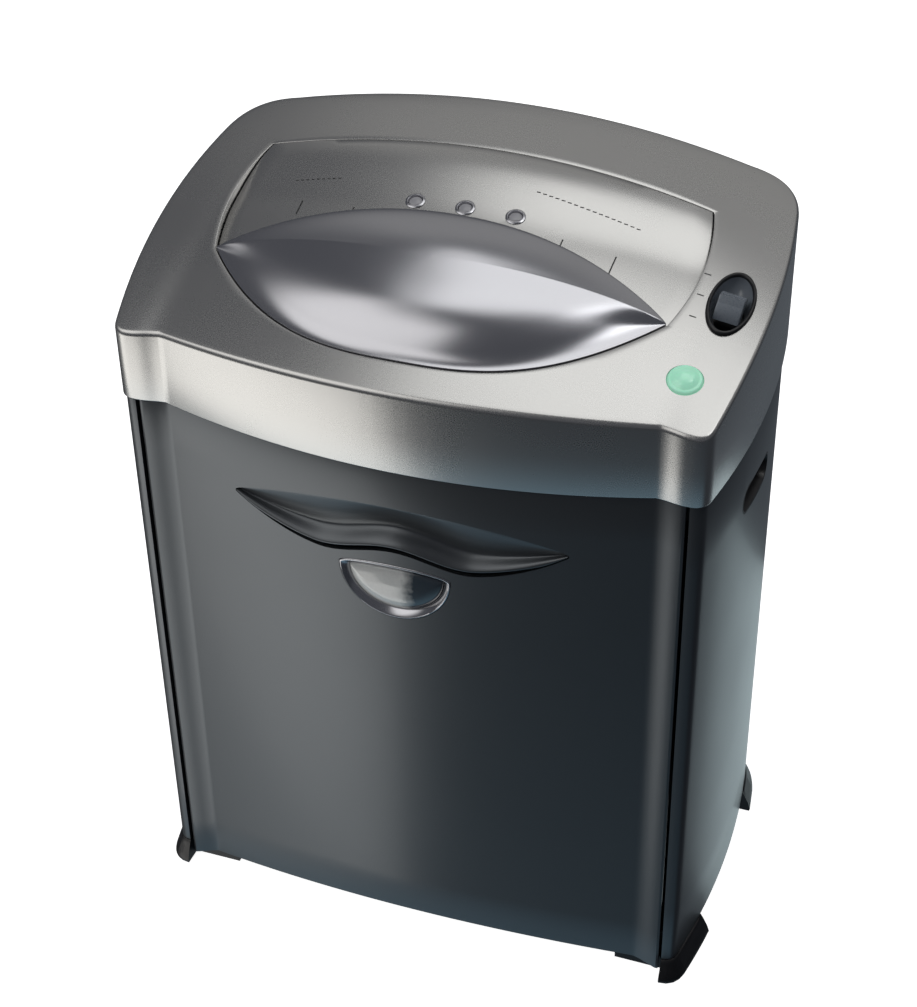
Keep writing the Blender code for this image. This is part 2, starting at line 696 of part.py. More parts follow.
# ---- cutter block ------------------------------------------------------------------------------
FRONT_AXIS = (FRONT_SHAFT_Y, CUTTER_Z)
REAR_AXIS = (REAR_SHAFT_Y, CUTTER_Z)
REDUCTION_REACH = FINAL_MODULE * (FINAL_TEETH + PINION_TEETH) / 2
REDUCTION_AXIS = (
    REAR_AXIS[0] + REDUCTION_REACH * math.cos(REDUCTION_ANGLE),
    REAR_AXIS[1] + REDUCTION_REACH * math.sin(REDUCTION_ANGLE),
)
MOTOR_REACH = REDUCTION_MODULE * (REDUCTION_TEETH + PINION_TEETH) / 2
MOTOR_AXIS = (
    REDUCTION_AXIS[0] + MOTOR_REACH * math.cos(MOTOR_ANGLE),
    REDUCTION_AXIS[1] + MOTOR_REACH * math.sin(MOTOR_ANGLE),
)
SYNC_X = LEFT_PLATE_X - 0.002
FINAL_X = SYNC_X - GEAR_WIDTH - 0.002
REDUCTION_X = FINAL_X - GEAR_WIDTH - 0.002
OUTER_PLATE_X = REDUCTION_X - GEAR_WIDTH - 0.003
ROD_R = 0.004
ROD_AXES = ((REAR_AXIS[0] - 0.0015, 0.4840), (REAR_AXIS[0] + 0.0515, 0.4240))
PIN_R = 0.003
MOTOR_SHAFT_R = 0.004
PLATE_Z = TRAY_Z + 0.003 + GAP


def cutter_shaft(name, axis, discs, phase, end_x):
    """A shaft with hooked discs between smaller spacers, as one turned and toothed bar."""
    points = 12
    left, right = LEFT_PLATE_X + PLATE_THICK, RIGHT_PLATE_X
    pitch = 2 * CUT_HALF / DISC_COUNT
    width = pitch / 2 - DISC_CLEARANCE

    def ring(x, radius, hooked=False):
        turned_ring = []
        for i in range(points):
            t = phase + math.tau * i / points
            if hooked and i % 2:
                radius_here, t = radius * 0.955, t + math.pi / points * 0.7
            else:
                radius_here = radius
            y, z = axis[0] + radius_here * math.cos(t), axis[1] + radius_here * math.sin(t)
            turned_ring.append((x, y, z))
        return turned_ring

    rings = [ring(end_x, JOURNAL_R), ring(left + 0.0008, JOURNAL_R), ring(left + 0.0008, SPACER_R)]
    for k in range(DISC_COUNT):
        middle = left + pitch * (k + (0.25 if discs == "odd" else 0.75))
        rings.append(ring(middle - width / 2, SPACER_R))
        rings.append(ring(middle - width / 2, DISC_R, True))
        rings.append(ring(middle + width / 2, DISC_R, True))
        rings.append(ring(middle + width / 2, SPACER_R))
    rings.append(ring(right - 0.0008, SPACER_R))
    rings.append(ring(right - 0.0008, JOURNAL_R))
    rings.append(ring(right + PLATE_THICK + 0.003, JOURNAL_R))
    return loft(name, rings, STEEL)


def plate(name, x, outline, holes, finish=ZINC):
    made = prism(name, outline, x, x + PLATE_THICK, finish, "X")
    for i, (centre, radius) in enumerate(holes):
        hole = [(radius, -0.01), (radius, 0.01)]
        cut(made, turned(f"{name}_hole_{i}", hole, 16, None, along_x(x, *centre)))
    return made


def chamfered(y0, y1, z0, z1, c=PLATE_CHAMFER):
    return [(y0, z0), (y1, z0), (y1, z1 - c), (y1 - c, z1), (y0 + c, z1), (y0, z1 - c)]


def make_cutter_block():
    bearings = [(FRONT_AXIS, BUSH_R + GAP), (REAR_AXIS, BUSH_R + GAP)]
    rods = [(axis, ROD_R + GAP) for axis in ROD_AXES]
    drive = [(REDUCTION_AXIS, PIN_R + GAP), (MOTOR_AXIS, MOTOR_SHAFT_R + 0.002)]
    front = FRONT_AXIS[0] - DISC_R - 0.012
    top = feed_z(LEFT_PLATE_X, front + PLATE_CHAMFER) - PANEL_THICK - PLATE_ROOM
    wide = chamfered(front, MOTOR_AXIS[0] + 0.024, PLATE_Z, top)
    plate("cutter_plate_left", LEFT_PLATE_X, wide, bearings + rods + drive)
    narrow = chamfered(front, ROD_AXES[1][0] + 0.010, PLATE_Z, top)
    plate("cutter_plate_right", RIGHT_PLATE_X, narrow, bearings + rods)
    outer = chamfered(REAR_AXIS[0] - 0.0115, MOTOR_AXIS[0] + 0.012, 0.414, 0.496)
    holes = rods + [(REDUCTION_AXIS, PIN_R + GAP), (MOTOR_AXIS, MOTOR_SHAFT_R + GAP)]
    plate("gearbox_plate", OUTER_PLATE_X - PLATE_THICK, outer, holes)
    for i, axis in enumerate(ROD_AXES):
        ends = [(ROD_R, OUTER_PLATE_X - PLATE_THICK - 0.003), (ROD_R, RIGHT_PLATE_X + PLATE_THICK + 0.003)]
        turned(f"tie_rod_{'upper' if i == 0 else 'lower'}", ends, 12, STEEL, along_x(0, *axis))
    pin = [(PIN_R, OUTER_PLATE_X - PLATE_THICK - 0.001), (PIN_R, LEFT_PLATE_X + PLATE_THICK + 0.001)]
    turned("reduction_pin", pin, 12, STEEL, along_x(0, *REDUCTION_AXIS))

    sync_end = SYNC_X - GEAR_WIDTH - 0.0008
    final_end = FINAL_X - GEAR_WIDTH - 0.0008
    shaft = cutter_shaft("cutter_shaft_front", FRONT_AXIS, "odd", 0.0, sync_end)
    hinge(shaft, "cutter_front_axis", (FEED_X, *FRONT_AXIS))
    shaft = cutter_shaft("cutter_shaft_rear", REAR_AXIS, "even", 0.26, final_end)
    hinge(shaft, "cutter_rear_axis", (FEED_X, *REAR_AXIS))
    for where, axis in (("front", FRONT_AXIS), ("rear", REAR_AXIS)):
        for side, x in (("left", LEFT_PLATE_X), ("right", RIGHT_PLATE_X)):
            ring = [
                (JOURNAL_R + GAP, -0.0004),
                (BUSH_R, -0.0004),
                (BUSH_R, PLATE_THICK + 0.0004),
                (JOURNAL_R + GAP, PLATE_THICK + 0.0004),
            ]
            turned(f"bearing_{where}_{side}", ring, 16, BRONZE, along_x(x, *axis), closed=True)

    module = SHAFT_SPACING / SYNC_TEETH
    bore = JOURNAL_R + GAP
    phase = facing(SYNC_TEETH, 0.0)
    made = gear("sync_gear_front", SYNC_TEETH, module, phase, SYNC_X, FRONT_AXIS, bore, STEEL)
    hinge(made, "cutter_front_axis", None)
    phase = facing(SYNC_TEETH, math.pi, gap=True)
    made = gear("sync_gear_rear", SYNC_TEETH, module, phase, SYNC_X, REAR_AXIS, bore, STEEL)
    hinge(made, "cutter_rear_axis", None)
    phase = facing(FINAL_TEETH, REDUCTION_ANGLE)
    made = gear("final_gear", FINAL_TEETH, FINAL_MODULE, phase, FINAL_X, REAR_AXIS, bore, STEEL)
    hinge(made, "cutter_rear_axis", None)

    phase = facing(REDUCTION_TEETH, MOTOR_ANGLE)
    made = gear("reduction_gear", REDUCTION_TEETH, REDUCTION_MODULE, phase, REDUCTION_X,
                REDUCTION_AXIS, 0, NYLON)
    phase = facing(PINION_TEETH, REDUCTION_ANGLE + math.pi, gap=True)
    small = gear("reduction_pinion_form", PINION_TEETH, FINAL_MODULE, phase, FINAL_X + 0.0005,
                 REDUCTION_AXIS, 0, None, GEAR_WIDTH + 0.004)
    cut(made, small, "UNION")
    hole = [(PIN_R + GAP, -0.02), (PIN_R + GAP, 0.02)]
    cut(made, turned("reduction_bore", hole, 12, None, along_x(FINAL_X, *REDUCTION_AXIS)))
    hinge(made, "reduction_axis", (REDUCTION_X, *REDUCTION_AXIS))
    make_motor()
    make_combs()


def make_motor():
    inner = LEFT_PLATE_X + PLATE_THICK + GAP
    wall = 0.0025
    far = inner + MOTOR_LENGTH
    shell = [
        (MOTOR_SHAFT_R + 0.002, inner),
        (MOTOR_R, inner),
        (MOTOR_R, far),
        (MOTOR_SHAFT_R + GAP, far),
        (MOTOR_SHAFT_R + GAP, far - wall),
        (MOTOR_R - wall, far - wall),
        (MOTOR_R - wall, inner + wall),
        (MOTOR_SHAFT_R + 0.002, inner + wall),
    ]
    turned("motor_housing", shell, 24, ZINC, along_x(0, *MOTOR_AXIS), closed=True)
    core = [
        (MOTOR_SHAFT_R, OUTER_PLATE_X - PLATE_THICK - 0.001),
        (MOTOR_SHAFT_R, inner + wall + 0.006),
        (MOTOR_R - 0.006, inner + wall + 0.006),
        (MOTOR_R - 0.006, far - wall - 0.008),
        (MOTOR_SHAFT_R, far - wall - 0.008),
        (MOTOR_SHAFT_R, far + 0.004),
    ]
    rotor = turned("motor_rotor", core, 16, STEEL, along_x(0, *MOTOR_AXIS))
    phase = facing(PINION_TEETH, MOTOR_ANGLE + math.pi, gap=True)
    pinion = gear("motor_pinion_form", PINION_TEETH, REDUCTION_MODULE, phase, REDUCTION_X + 0.0005,
                  MOTOR_AXIS, 0, None, GEAR_WIDTH + 0.001)
    cut(rotor, pinion, "UNION")
    hinge(rotor, "motor_axis", (REDUCTION_X, *MOTOR_AXIS))


def make_combs():
    """Toothed bars whose fingers sit between the discs and strip the cut paper off."""
    left, right = LEFT_PLATE_X + PLATE_THICK, RIGHT_PLATE_X
    pitch = 2 * CUT_HALF / DISC_COUNT
    finger = pitch / 2 - 3 * DISC_CLEARANCE
    for name, axis, way, shift in (("front", FRONT_AXIS, -1, 0.75), ("rear", REAR_AXIS, 1, 0.25)):
        tip = axis[0] + way * (SPACER_R + 0.0008)
        root = axis[0] + way * (DISC_R + 0.0015)
        back = root + way * 0.0075
        outline = [(left + GAP, back), (left + GAP, root)]
        for k in range(DISC_COUNT):
            middle = left + pitch * (k + shift)
            a = max(middle - finger / 2, left + 3 * GAP)
            b = min(middle + finger / 2, right - 3 * GAP)
            outline += [(a, root), (a, tip), (b, tip), (b, root)]
        outline += [(right - GAP, root), (right - GAP, back)]
        prism(f"stripper_comb_{name}", outline, CUTTER_Z - 0.004, CUTTER_Z + 0.004, SLATE)


def make_throat():
    low = CUTTER_Z + DISC_R - 0.0005
    high = feed_z(FEED_X - CUT_HALF, THROAT_FRONT - 0.004) - PANEL_THICK - 0.002
    x0, x1 = FEED_X - CUT_HALF + 2 * GAP, FEED_X + CUT_HALF - 2 * GAP
    wide, narrow, wall = THROAT_GAP / 2 + 0.0018, THROAT_GAP / 2 - 0.0012, 0.0020
    half = [(wide + wall, high), (wide, high), (narrow, low), (narrow + wall, low)]
    front = [(THROAT_Y - y, z) for y, z in half]
    rear = [(THROAT_Y + y, z) for y, z in half]
    prism("throat_guide_front", front, x0, x1, BLACK, "X")
    made = prism("throat_guide_rear", rear, x0, x1, BLACK, "X")
    notch_low = (FEED_X - 0.0045, THROAT_Y, SENSOR_AXIS[1] - 0.0245)
    notch_high = (FEED_X + 0.0045, THROAT_REAR + 0.009, high + 0.01)
    cut(made, block("sensor_notch", notch_low, notch_high, None))
    lever = [(-0.003, 0.001), (-0.0145, -0.0095), (-0.0152, -0.0130), (-0.0125, -0.0130), (0.0, -0.0034),
             (0.003, -0.002), (0.0034, 0.0012), (0.0010, 0.0032)]
    outline = [(SENSOR_AXIS[0] + a, SENSOR_AXIS[1] + b) for a, b in lever]
    flag = prism("paper_sensor", outline, FEED_X - 0.0028, FEED_X + 0.0028, BLACK, "X")
    hinge(flag, "paper_sensor_axis", (FEED_X, *SENSOR_AXIS))


# ---- head's floor pan and electrics ------------------------------------------------------------
def make_head_floor():
    wall = 0.0022
    outer = [[(x, y, z) for x, y in plan(FLOOR_INSET)] for z in (TRAY_Z, SEAM_Z - GAP)]
    inside = plan(FLOOR_INSET + wall)
    inner = [[(x, y, z) for x, y in inside] for z in (SEAM_Z - GAP, TRAY_Z + 0.003)]
    pan = loft("head_pan", outer + inner, BLACK)
    x0, x1 = LEFT_PLATE_X + PLATE_THICK, RIGHT_PLATE_X
    chute_front = FRONT_AXIS[0] - DISC_R - 0.003
    chute_rear = REAR_AXIS[0] + DISC_R + 0.003
    cut(pan, block("chute_opening", (x0, chute_front, 0.39), (x1, chute_rear, 0.42), None))

    board_z = TRAY_Z + 0.012
    board_x = HALF_WIDTH - 0.0095
    low, high = (board_x - 0.060, MID_Y - 0.0673, board_z), (board_x, MID_Y + 0.0227, board_z + 0.0016)
    block("circuit_board", low, high, BOARD)
    can = [(0.012, TRAY_Z + 0.003 + GAP), (0.012, TRAY_Z + 0.042), (0.0105, TRAY_Z + 0.0435)]
    turned("motor_capacitor", can, 16, ZINC, Matrix.Translation((HALF_WIDTH - 0.0435, MID_Y + 0.0587, 0)))

    face = max(back_y(GLAND_X - 0.011), back_y(GLAND_X + 0.011)) + GAP
    ring = [
        (0.0045, 0.0030),
        (0.0045, -0.0085),
        (GLAND_R, -0.0085),
        (GLAND_R, 0.0),
        (0.0110, 0.0),
        (0.0110, 0.0018),
        (0.0090, 0.0030),
    ]
    turned("cord_gland", ring, 16, BLACK, along_y(GLAND_X, face, GLAND_Z), closed=True)


# ---- cabinet -----------------------------------------------------------------------------------
def stadium(half, radius, steps=6):
    points = []
    for side in (1, -1):
        for i in range(steps + 1):
            t = math.pi * (i / steps - 0.5) * side
            points.append((side * half + radius * math.cos(t) * side, radius * math.sin(t)))
    return sorted(points, key=lambda p: math.atan2(p[1], p[0]))


def side_grip_ring(grow, x_of):
    turn = math.cos(SIDE_GRIP_TILT), math.sin(SIDE_GRIP_TILT)
    ring = []
    for a, b in stadium(SIDE_GRIP_HALF, SIDE_GRIP_R + grow):
        y = SIDE_GRIP_Y + a * turn[0] - b * turn[1]
        z = SIDE_GRIP_Z + a * turn[1] + b * turn[0]
        ring.append((x_of(y), y, z))
    return ring


def mirror_x(points):
    return [(-p[0], *p[1:]) for p in points]


def make_sides():
    low, high = FOOT_HEIGHT + GAP, SEAM_Z - GAP
    outer = right_side(BODY_INSET, POST_X, BACK_EDGE)
    if outer[0][0] > POST_X + 1e-6:
        outer.insert(0, (POST_X, front_y(POST_X, BODY_INSET)))
    inner = right_side(PANEL_FACE, POST_X + BODY_WALL, BACK_EDGE)
    inner = [p for p in inner if p[0] > POST_X + BODY_WALL - 1e-6 or p[1] > 0]
    jamb_y = front_y(POST_X) + JAMB_DEPTH
    back_in = PANEL_FACE + GAP
    steps = [
        (BACK_EDGE, back_y(BACK_EDGE, back_in)),
        (FLANGE_EDGE, back_y(FLANGE_EDGE, back_in)),
        (FLANGE_EDGE, back_y(FLANGE_EDGE, back_in + BODY_WALL)),
        (BACK_EDGE - 0.002, back_y(BACK_EDGE - 0.002, back_in + BODY_WALL)),
    ]
    if inner[-1][0] <= BACK_EDGE + 1e-6:
        inner = inner[:-1]
    jamb_in = POST_X + BODY_WALL
    flange = PANEL_FACE + 3 * GAP
    outline = outer + steps + inner[::-1]
    outline += [(jamb_in, front_y(jamb_in, PANEL_FACE) + 0.0004), (jamb_in, jamb_y), (POST_X, jamb_y)]
    outline = tidy(outline)
    for side in ("left", "right"):
        shape = outline if side == "right" else mirror_x(outline)
        shell = prism(f"cabinet_{side}", shape, low, high, CHARCOAL)
        flip = (lambda p: p) if side == "right" else mirror_x
        ends = (HALF_WIDTH - 0.0135, HALF_WIDTH + SIDE_BOW + 0.0145)
        hole = [flip(side_grip_ring(GAP, lambda y: x)) for x in ends]
        cut(shell, loft(f"side_grip_opening_{side}", hole, None))
        rings = [
            side_grip_ring(0.0, lambda y: side_x(y, BODY_INSET + 0.0006)),
            side_grip_ring(0.0, lambda y: side_x(y, flange)),
            side_grip_ring(0.003, lambda y: side_x(y, flange)),
            side_grip_ring(0.003, lambda y: side_x(SIDE_GRIP_Y, PANEL_FACE + SIDE_GRIP_DEPTH)),
        ]
        rings += [
            side_grip_ring(-0.0018, lambda y: side_x(SIDE_GRIP_Y, PANEL_FACE + SIDE_GRIP_DEPTH - 0.002)),
            side_grip_ring(-0.0018, lambda y: side_x(y, BODY_INSET + 0.0006)),
        ]
        cup_from(f"grip_cup_{side}", [flip(ring) for ring in rings], 4, BLACK)
        for i, z in enumerate(SCREW_HEIGHTS):
            x = SCREW_X if side == "right" else -SCREW_X
            screw_hole(shell, f"flange_hole_{side}_{i}", x, z, SCREW_R + GAP)


def tidy(outline):
    """Drops points that repeat the one before."""
    kept = []
    for p in outline:
        if not kept or math.dist(p, kept[-1]) > 2e-4:
            kept.append(p)
    if math.dist(kept[0], kept[-1]) < 2e-4:
        kept.pop()
    return kept


def cup_from(name, rings, closed_at, finish):
    """A cup: rings run down the outside to the floor, then up the inside, and meet at the rim."""
    count = len(rings[0])
    points = [p for ring in rings for p in ring]
    faces = []
    for r in range(len(rings)):
        if r == closed_at - 1:
            continue
        a, b = r * count, ((r + 1) % len(rings)) * count
        for i in range(count):
            j = (i + 1) % count
            faces.append((a + i, a + j, b + j, b + i))
    faces.append(tuple(range((closed_at - 1) * count, closed_at * count)))
    faces.append(tuple(range(closed_at * count, (closed_at + 1) * count))[::-1])
    return solid(name, points, faces, finish)


def screw_hole(made, name, x, z, radius):
    hole = [(radius, -0.012), (radius, 0.012)]
    cut(made, turned(name, hole, 10, None, along_y(x, back_y(x, PANEL_FACE), z)))


def make_back():
    low, high = FOOT_HEIGHT + GAP, SEAM_Z - GAP
    edge, steps = BACK_EDGE - GAP, 8
    xs = [-edge + 2 * edge * i / steps for i in range(steps + 1)]
    outline = [(x, back_y(x, PANEL_FACE)) for x in xs]
    outline += [(x, back_y(x, BODY_INSET)) for x in reversed(xs)]
    panel = prism("cabinet_back", outline, low, high, CHARCOAL)
    for side, x in (("left", -SCREW_X), ("right", SCREW_X)):
        for level, z in zip(("low", "high"), SCREW_HEIGHTS):
            screw_hole(panel, f"back_hole_{side}_{level}", x, z, SCREW_R + GAP)
            face = max(back_y(x - 0.0036, BODY_INSET), back_y(x + 0.0036, BODY_INSET)) + GAP
            profile = [
                (SCREW_R * 0.6, -0.011),
                (SCREW_R, -0.009),
                (SCREW_R, 0.0),
                (0.0036, 0.0),
                (0.0034, 0.0012),
                (0.0020, 0.0020),
            ]
            turned(f"back_screw_{side}_{level}", profile, 10, STEEL, along_y(x, face, z))


def make_base():
    rim = plan(FLOOR_INSET)
    high = BASE_Z + 0.003
    prism("base_tray", rim, BASE_Z, high, BLACK)
    runner_x = BIN_HALF - 0.050
    for side, x in (("left", -runner_x), ("right", runner_x)):
        low_corner = (x - 0.005, BIN_FRONT_Y + 0.006, high + GAP)
        block(f"bin_runner_{side}", low_corner, (x + 0.005, BIN_BACK_Y, high + RUNNER_HEIGHT), SLATE)
    for side in ("left", "right"):
        for end in ("front", "rear"):
            make_foot(side, end)


def foot_path(inset, end):
    """Plan of a foot's outside at a corner, moved inwards by inset."""
    corner_steps = 4
    whole = right_side(inset, POST_X + 0.001, BACK_EDGE + 0.001, corner_steps)
    if end == "front":
        reach = FRONT_Y + FOOT_REACH
        return whole[: corner_steps + 1] + [(side_x(reach, inset), reach)]
    reach = BACK_Y - FOOT_REACH
    return [(side_x(reach, inset), reach)] + whole[-corner_steps - 3:]


def make_foot(side, end):
    under = FLOOR_INSET
    levels = [
        (-FOOT_FLARE + 0.0006, 0.0),
        (-FOOT_FLARE, 0.0020),
        (-FOOT_FLARE * 0.70, 0.0070),
        (-FOOT_FLARE * 0.10, 0.0135),
        (BODY_INSET, FOOT_HEIGHT),
        (under, FOOT_HEIGHT),
        (under, BASE_Z - GAP),
    ]
    rings = []
    for inset, z in levels:
        path = foot_path(inset, end)
        deep = 0.046
        if end == "front":
            x_in, y_in = HALF_WIDTH - deep, FRONT_Y + FOOT_REACH
            back_face = FRONT_Y + PANEL_FACE + SLIDE_GAP + 0.001
            x_post = min(POST_X + 0.0002, path[0][0] - 0.0005)
            path = [(x_in, back_face), (x_post, back_face)] + path + [(x_in, y_in)]
        else:
            x_in, y_in = HALF_WIDTH - deep, BACK_Y - FOOT_REACH
            last = path[-1]
            path = path + [(x_in, min(last[1], back_y(x_in, inset))), (x_in, y_in)]
        if side == "left":
            path = mirror_x(path)
        rings.append([(x, y, z) for x, y in path])
    return loft(f"foot_{end}_{side}", rings, BLACK)


# ---- bin ---------------------------------------------------------------------------------------
def ridge_z(x):
    """The wave of the grip: a low either side of a small rise, running up to the tips."""
    a = abs(x)
    if a <= 0.050:
        return GRIP_TIP_Z - 0.0116 + 0.0044 * math.cos(math.pi * a / 0.050)
    t = min(1.0, (a - 0.050) / (GRIP_HALF - 0.050))
    return GRIP_TIP_Z - 0.0160 + 0.0160 * t**1.5


def arch_z(x):
    t = min(1.0, abs(x) / GRIP_HALF)
    return GRIP_TIP_Z + GRIP_ARCH * (1 - t * t) ** 0.8


def lip_height(x):
    return LIP_HEIGHT * (1 - min(1.0, abs(x) / (GRIP_HALF + 0.004)) ** 4) + 0.0004


def grip_outline(grow=0.0, steps=22):
    """The grip's opening on the bin front, with the lip's seat, as (x, z)."""
    half = GRIP_HALF + grow
    xs = [-half * math.cos(math.pi * i / steps) for i in range(steps + 1)]
    lower = [(x, ridge_z(x) - lip_height(x) - GAP - grow) for x in xs]
    upper = [(x, arch_z(x) + grow) for x in reversed(xs)]
    return lower + upper


def window_outline(inset=0.0, steps=12):
    """A half-moon: a nearly straight top and a round lower edge."""
    half = WINDOW_HALF - inset
    top, low = WINDOW_TOP - inset, WINDOW_BOTTOM + inset
    shoulder = top - 0.006
    upper = [math.pi * i / 6 for i in range(7)]
    upper = [(half * math.cos(t), shoulder + (top - shoulder) * math.sin(t)) for t in upper]
    lower = [math.pi * i / steps for i in range(1, steps)]
    lower = [(-half * math.cos(t), shoulder - (shoulder - low) * math.sin(t)) for t in lower]
    return upper + lower


def curved_prism(name, outline, inset_out, inset_in, finish):
    """A piece that follows the bowed front: the (x, z) outline between two depths."""
    rings = [[(x, front_y(x, inset), z) for x, z in outline] for inset in (inset_out, inset_in)]
    return loft(name, rings, finish)


def make_bin():
    floor_z = BASE_Z + 0.003 + RUNNER_HEIGHT + GAP

    def ring(inset, z):
        taper = BIN_TAPER * (1 - (z - floor_z) / (BIN_TOP - floor_z))
        x, y0, y1 = BIN_HALF - inset - taper, BIN_FRONT_Y + inset, BIN_BACK_Y - inset - taper
        c = 0.010
        return [(-x, y0, z), (x, y0, z), (x, y1 - c, z), (x - c, y1, z), (-x + c, y1, z), (-x, y1 - c, z)]

    rings = [
        ring(0, BIN_TOP),
        ring(0, floor_z),
        ring(BIN_WALL, floor_z + BIN_WALL),
        ring(BIN_WALL, BIN_TOP),
    ]
    made = cup_from("bin_body", rings, 2, BLACK)
    view = [[(x, y, z) for x, z in window_outline(0.001)] for y in (BIN_FRONT_Y - 0.01, BIN_FRONT_Y + 0.01)]
    cut(made, loft("bin_view", view, None))
    hinge(made, "bin_axis", (0, FRONT_Y, floor_z))

    make_bin_front()
    for made in make_grip():
        hinge(made, "bin_axis", None)
    lens_made = curved_prism("window_lens", window_outline(GAP), BODY_INSET + 0.0004,
                             PANEL_FACE - 0.0002, SMOKED)
    hinge(lens_made, "bin_axis", None)


def make_bin_front():
    """A bowed panel with a flange behind each end, which is fixed to the side of the bin."""
    steps = 22
    xs = [-PANEL_HALF + 2 * PANEL_HALF * i / steps for i in range(steps + 1)]
    outer = [(x, front_y(x, BODY_INSET)) for x in xs]
    flange_in, flange_out, flange_y = BIN_HALF + GAP, BIN_HALF + 0.003, BIN_FRONT_Y + 0.035
    inner_x = [x for x in xs if abs(x) < flange_in - 0.002]
    right_in = [(PANEL_HALF, front_y(PANEL_HALF, PANEL_FACE)),
                (flange_out, front_y(flange_out, PANEL_FACE)), (flange_out, flange_y),
                (flange_in, flange_y), (flange_in, front_y(flange_in, PANEL_FACE))]
    inner = right_in + [(x, front_y(x, PANEL_FACE)) for x in reversed(inner_x)]
    inner += mirror_x(right_in)[::-1]
    panel = prism("bin_front", outer + inner, ARCH_END_Z - 0.006, SEAM_Z - SLIDE_GAP, CHARCOAL)
    arch = []
    for i in range(17):
        x = -PANEL_HALF - 0.004 + 2 * (PANEL_HALF + 0.004) * i / 16
        rise = ARCH_MID_Z - ARCH_END_Z
        arch.append((x, ARCH_MID_Z - rise * min(1.27, (x / BOW_HALF) ** 2)))
    arch += [(PANEL_HALF + 0.004, -0.01), (-PANEL_HALF - 0.004, -0.01)]
    ahead, behind = FRONT_Y - FRONT_BOW - 0.02, BIN_FRONT_Y - 0.0025
    cut(panel, prism("bin_front_arch", arch, ahead, 0.0, None, "Y"))
    for side, x0 in (("left", -flange_out - GAP), ("right", flange_in - GAP)):
        x1 = x0 + flange_out - flange_in + 2 * GAP
        y0, y1 = front_y(flange_in, PANEL_FACE), flange_y + GAP
        for end, z0, z1 in (("low", -0.01, BASE_Z + 0.010), ("high", BIN_TOP, SEAM_Z)):
            cut(panel, block(f"flange_relief_{side}_{end}", (x0, y0, z0), (x1, y1, z1), None))
    cut(panel, prism("grip_opening", grip_outline(), ahead, behind, None, "Y"))
    cut(panel, prism("window_opening", window_outline(), ahead, behind, None, "Y"))
    hinge(panel, "bin_axis", (0, FRONT_Y, 0))


def make_grip():
    """The pocket behind the opening, and the rolled lip that the fingers pull."""
    front = PANEL_FACE + GAP
    floor_y = BIN_FRONT_Y - 0.005
    outer, inner = grip_outline(0.0026), grip_outline(0.0006)
    rings = [
        [(x, front_y(x, front), z) for x, z in outer],
        [(x, floor_y, z) for x, z in outer],
        [(x, floor_y - 0.002, z) for x, z in inner],
        [(x, front_y(x, front), z) for x, z in inner],
    ]
    pocket = cup_from("grip_pocket", rings, 2, BLACK)

    stations = 20
    sections = []
    for i in range(stations + 1):
        x = -(GRIP_HALF - 0.0012) * math.cos(math.pi * i / stations)
        high = ridge_z(x) - 0.0002
        low = high - lip_height(x) + 2 * GAP
        swell = (1 - (abs(x) / GRIP_HALF) ** 3) ** 0.7 if abs(x) < GRIP_HALF else 0.0
        y0 = front_y(x, BODY_INSET)
        out = y0 - 0.0008 - (LIP_PROUD + BODY_INSET - 0.0008) * swell
        inn = y0 + BODY_WALL - 0.0003
        mid = (high + low) / 2
        section = [
            (x, inn, low),
            (x, y0 - 0.0002, low),
            (x, (y0 + 2 * out) / 3, low + (mid - low) * 0.35),
            (x, out, mid),
            (x, (y0 + 2 * out) / 3, high - (high - mid) * 0.25),
            (x, y0 - 0.0002, high),
            (x, inn, high),
        ]
        sections.append(section)
    lip = loft("grip_lip", sections, CHARCOAL)
    return pocket, lip


make_top_cover()
make_feed_panel()
make_lamps()
make_feed_hood()
make_mode_switch()
make_power_button()
make_cutter_block()
make_throat()
make_head_floor()
make_sides()
make_back()
make_base()
make_bin()
print("cutter axes", FRONT_AXIS, REAR_AXIS, "reduction", REDUCTION_AXIS, "motor", MOTOR_AXIS)
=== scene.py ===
# %% [markdown]
# # A console paper shredder
# The real machine is a silver head on a charcoal cabinet. A lens-shaped hood covers the feed slot, and
# a bin with a bowed front pulls out from below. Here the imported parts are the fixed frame, and each
# visible shell gets a finer surface around it. We load the frame first, because every place comes from it.

# %% Load the frame
from math import atan2, cos, hypot, pi, radians, sin, sqrt, tau

import bmesh
import bpy
from mathutils import Matrix, Vector


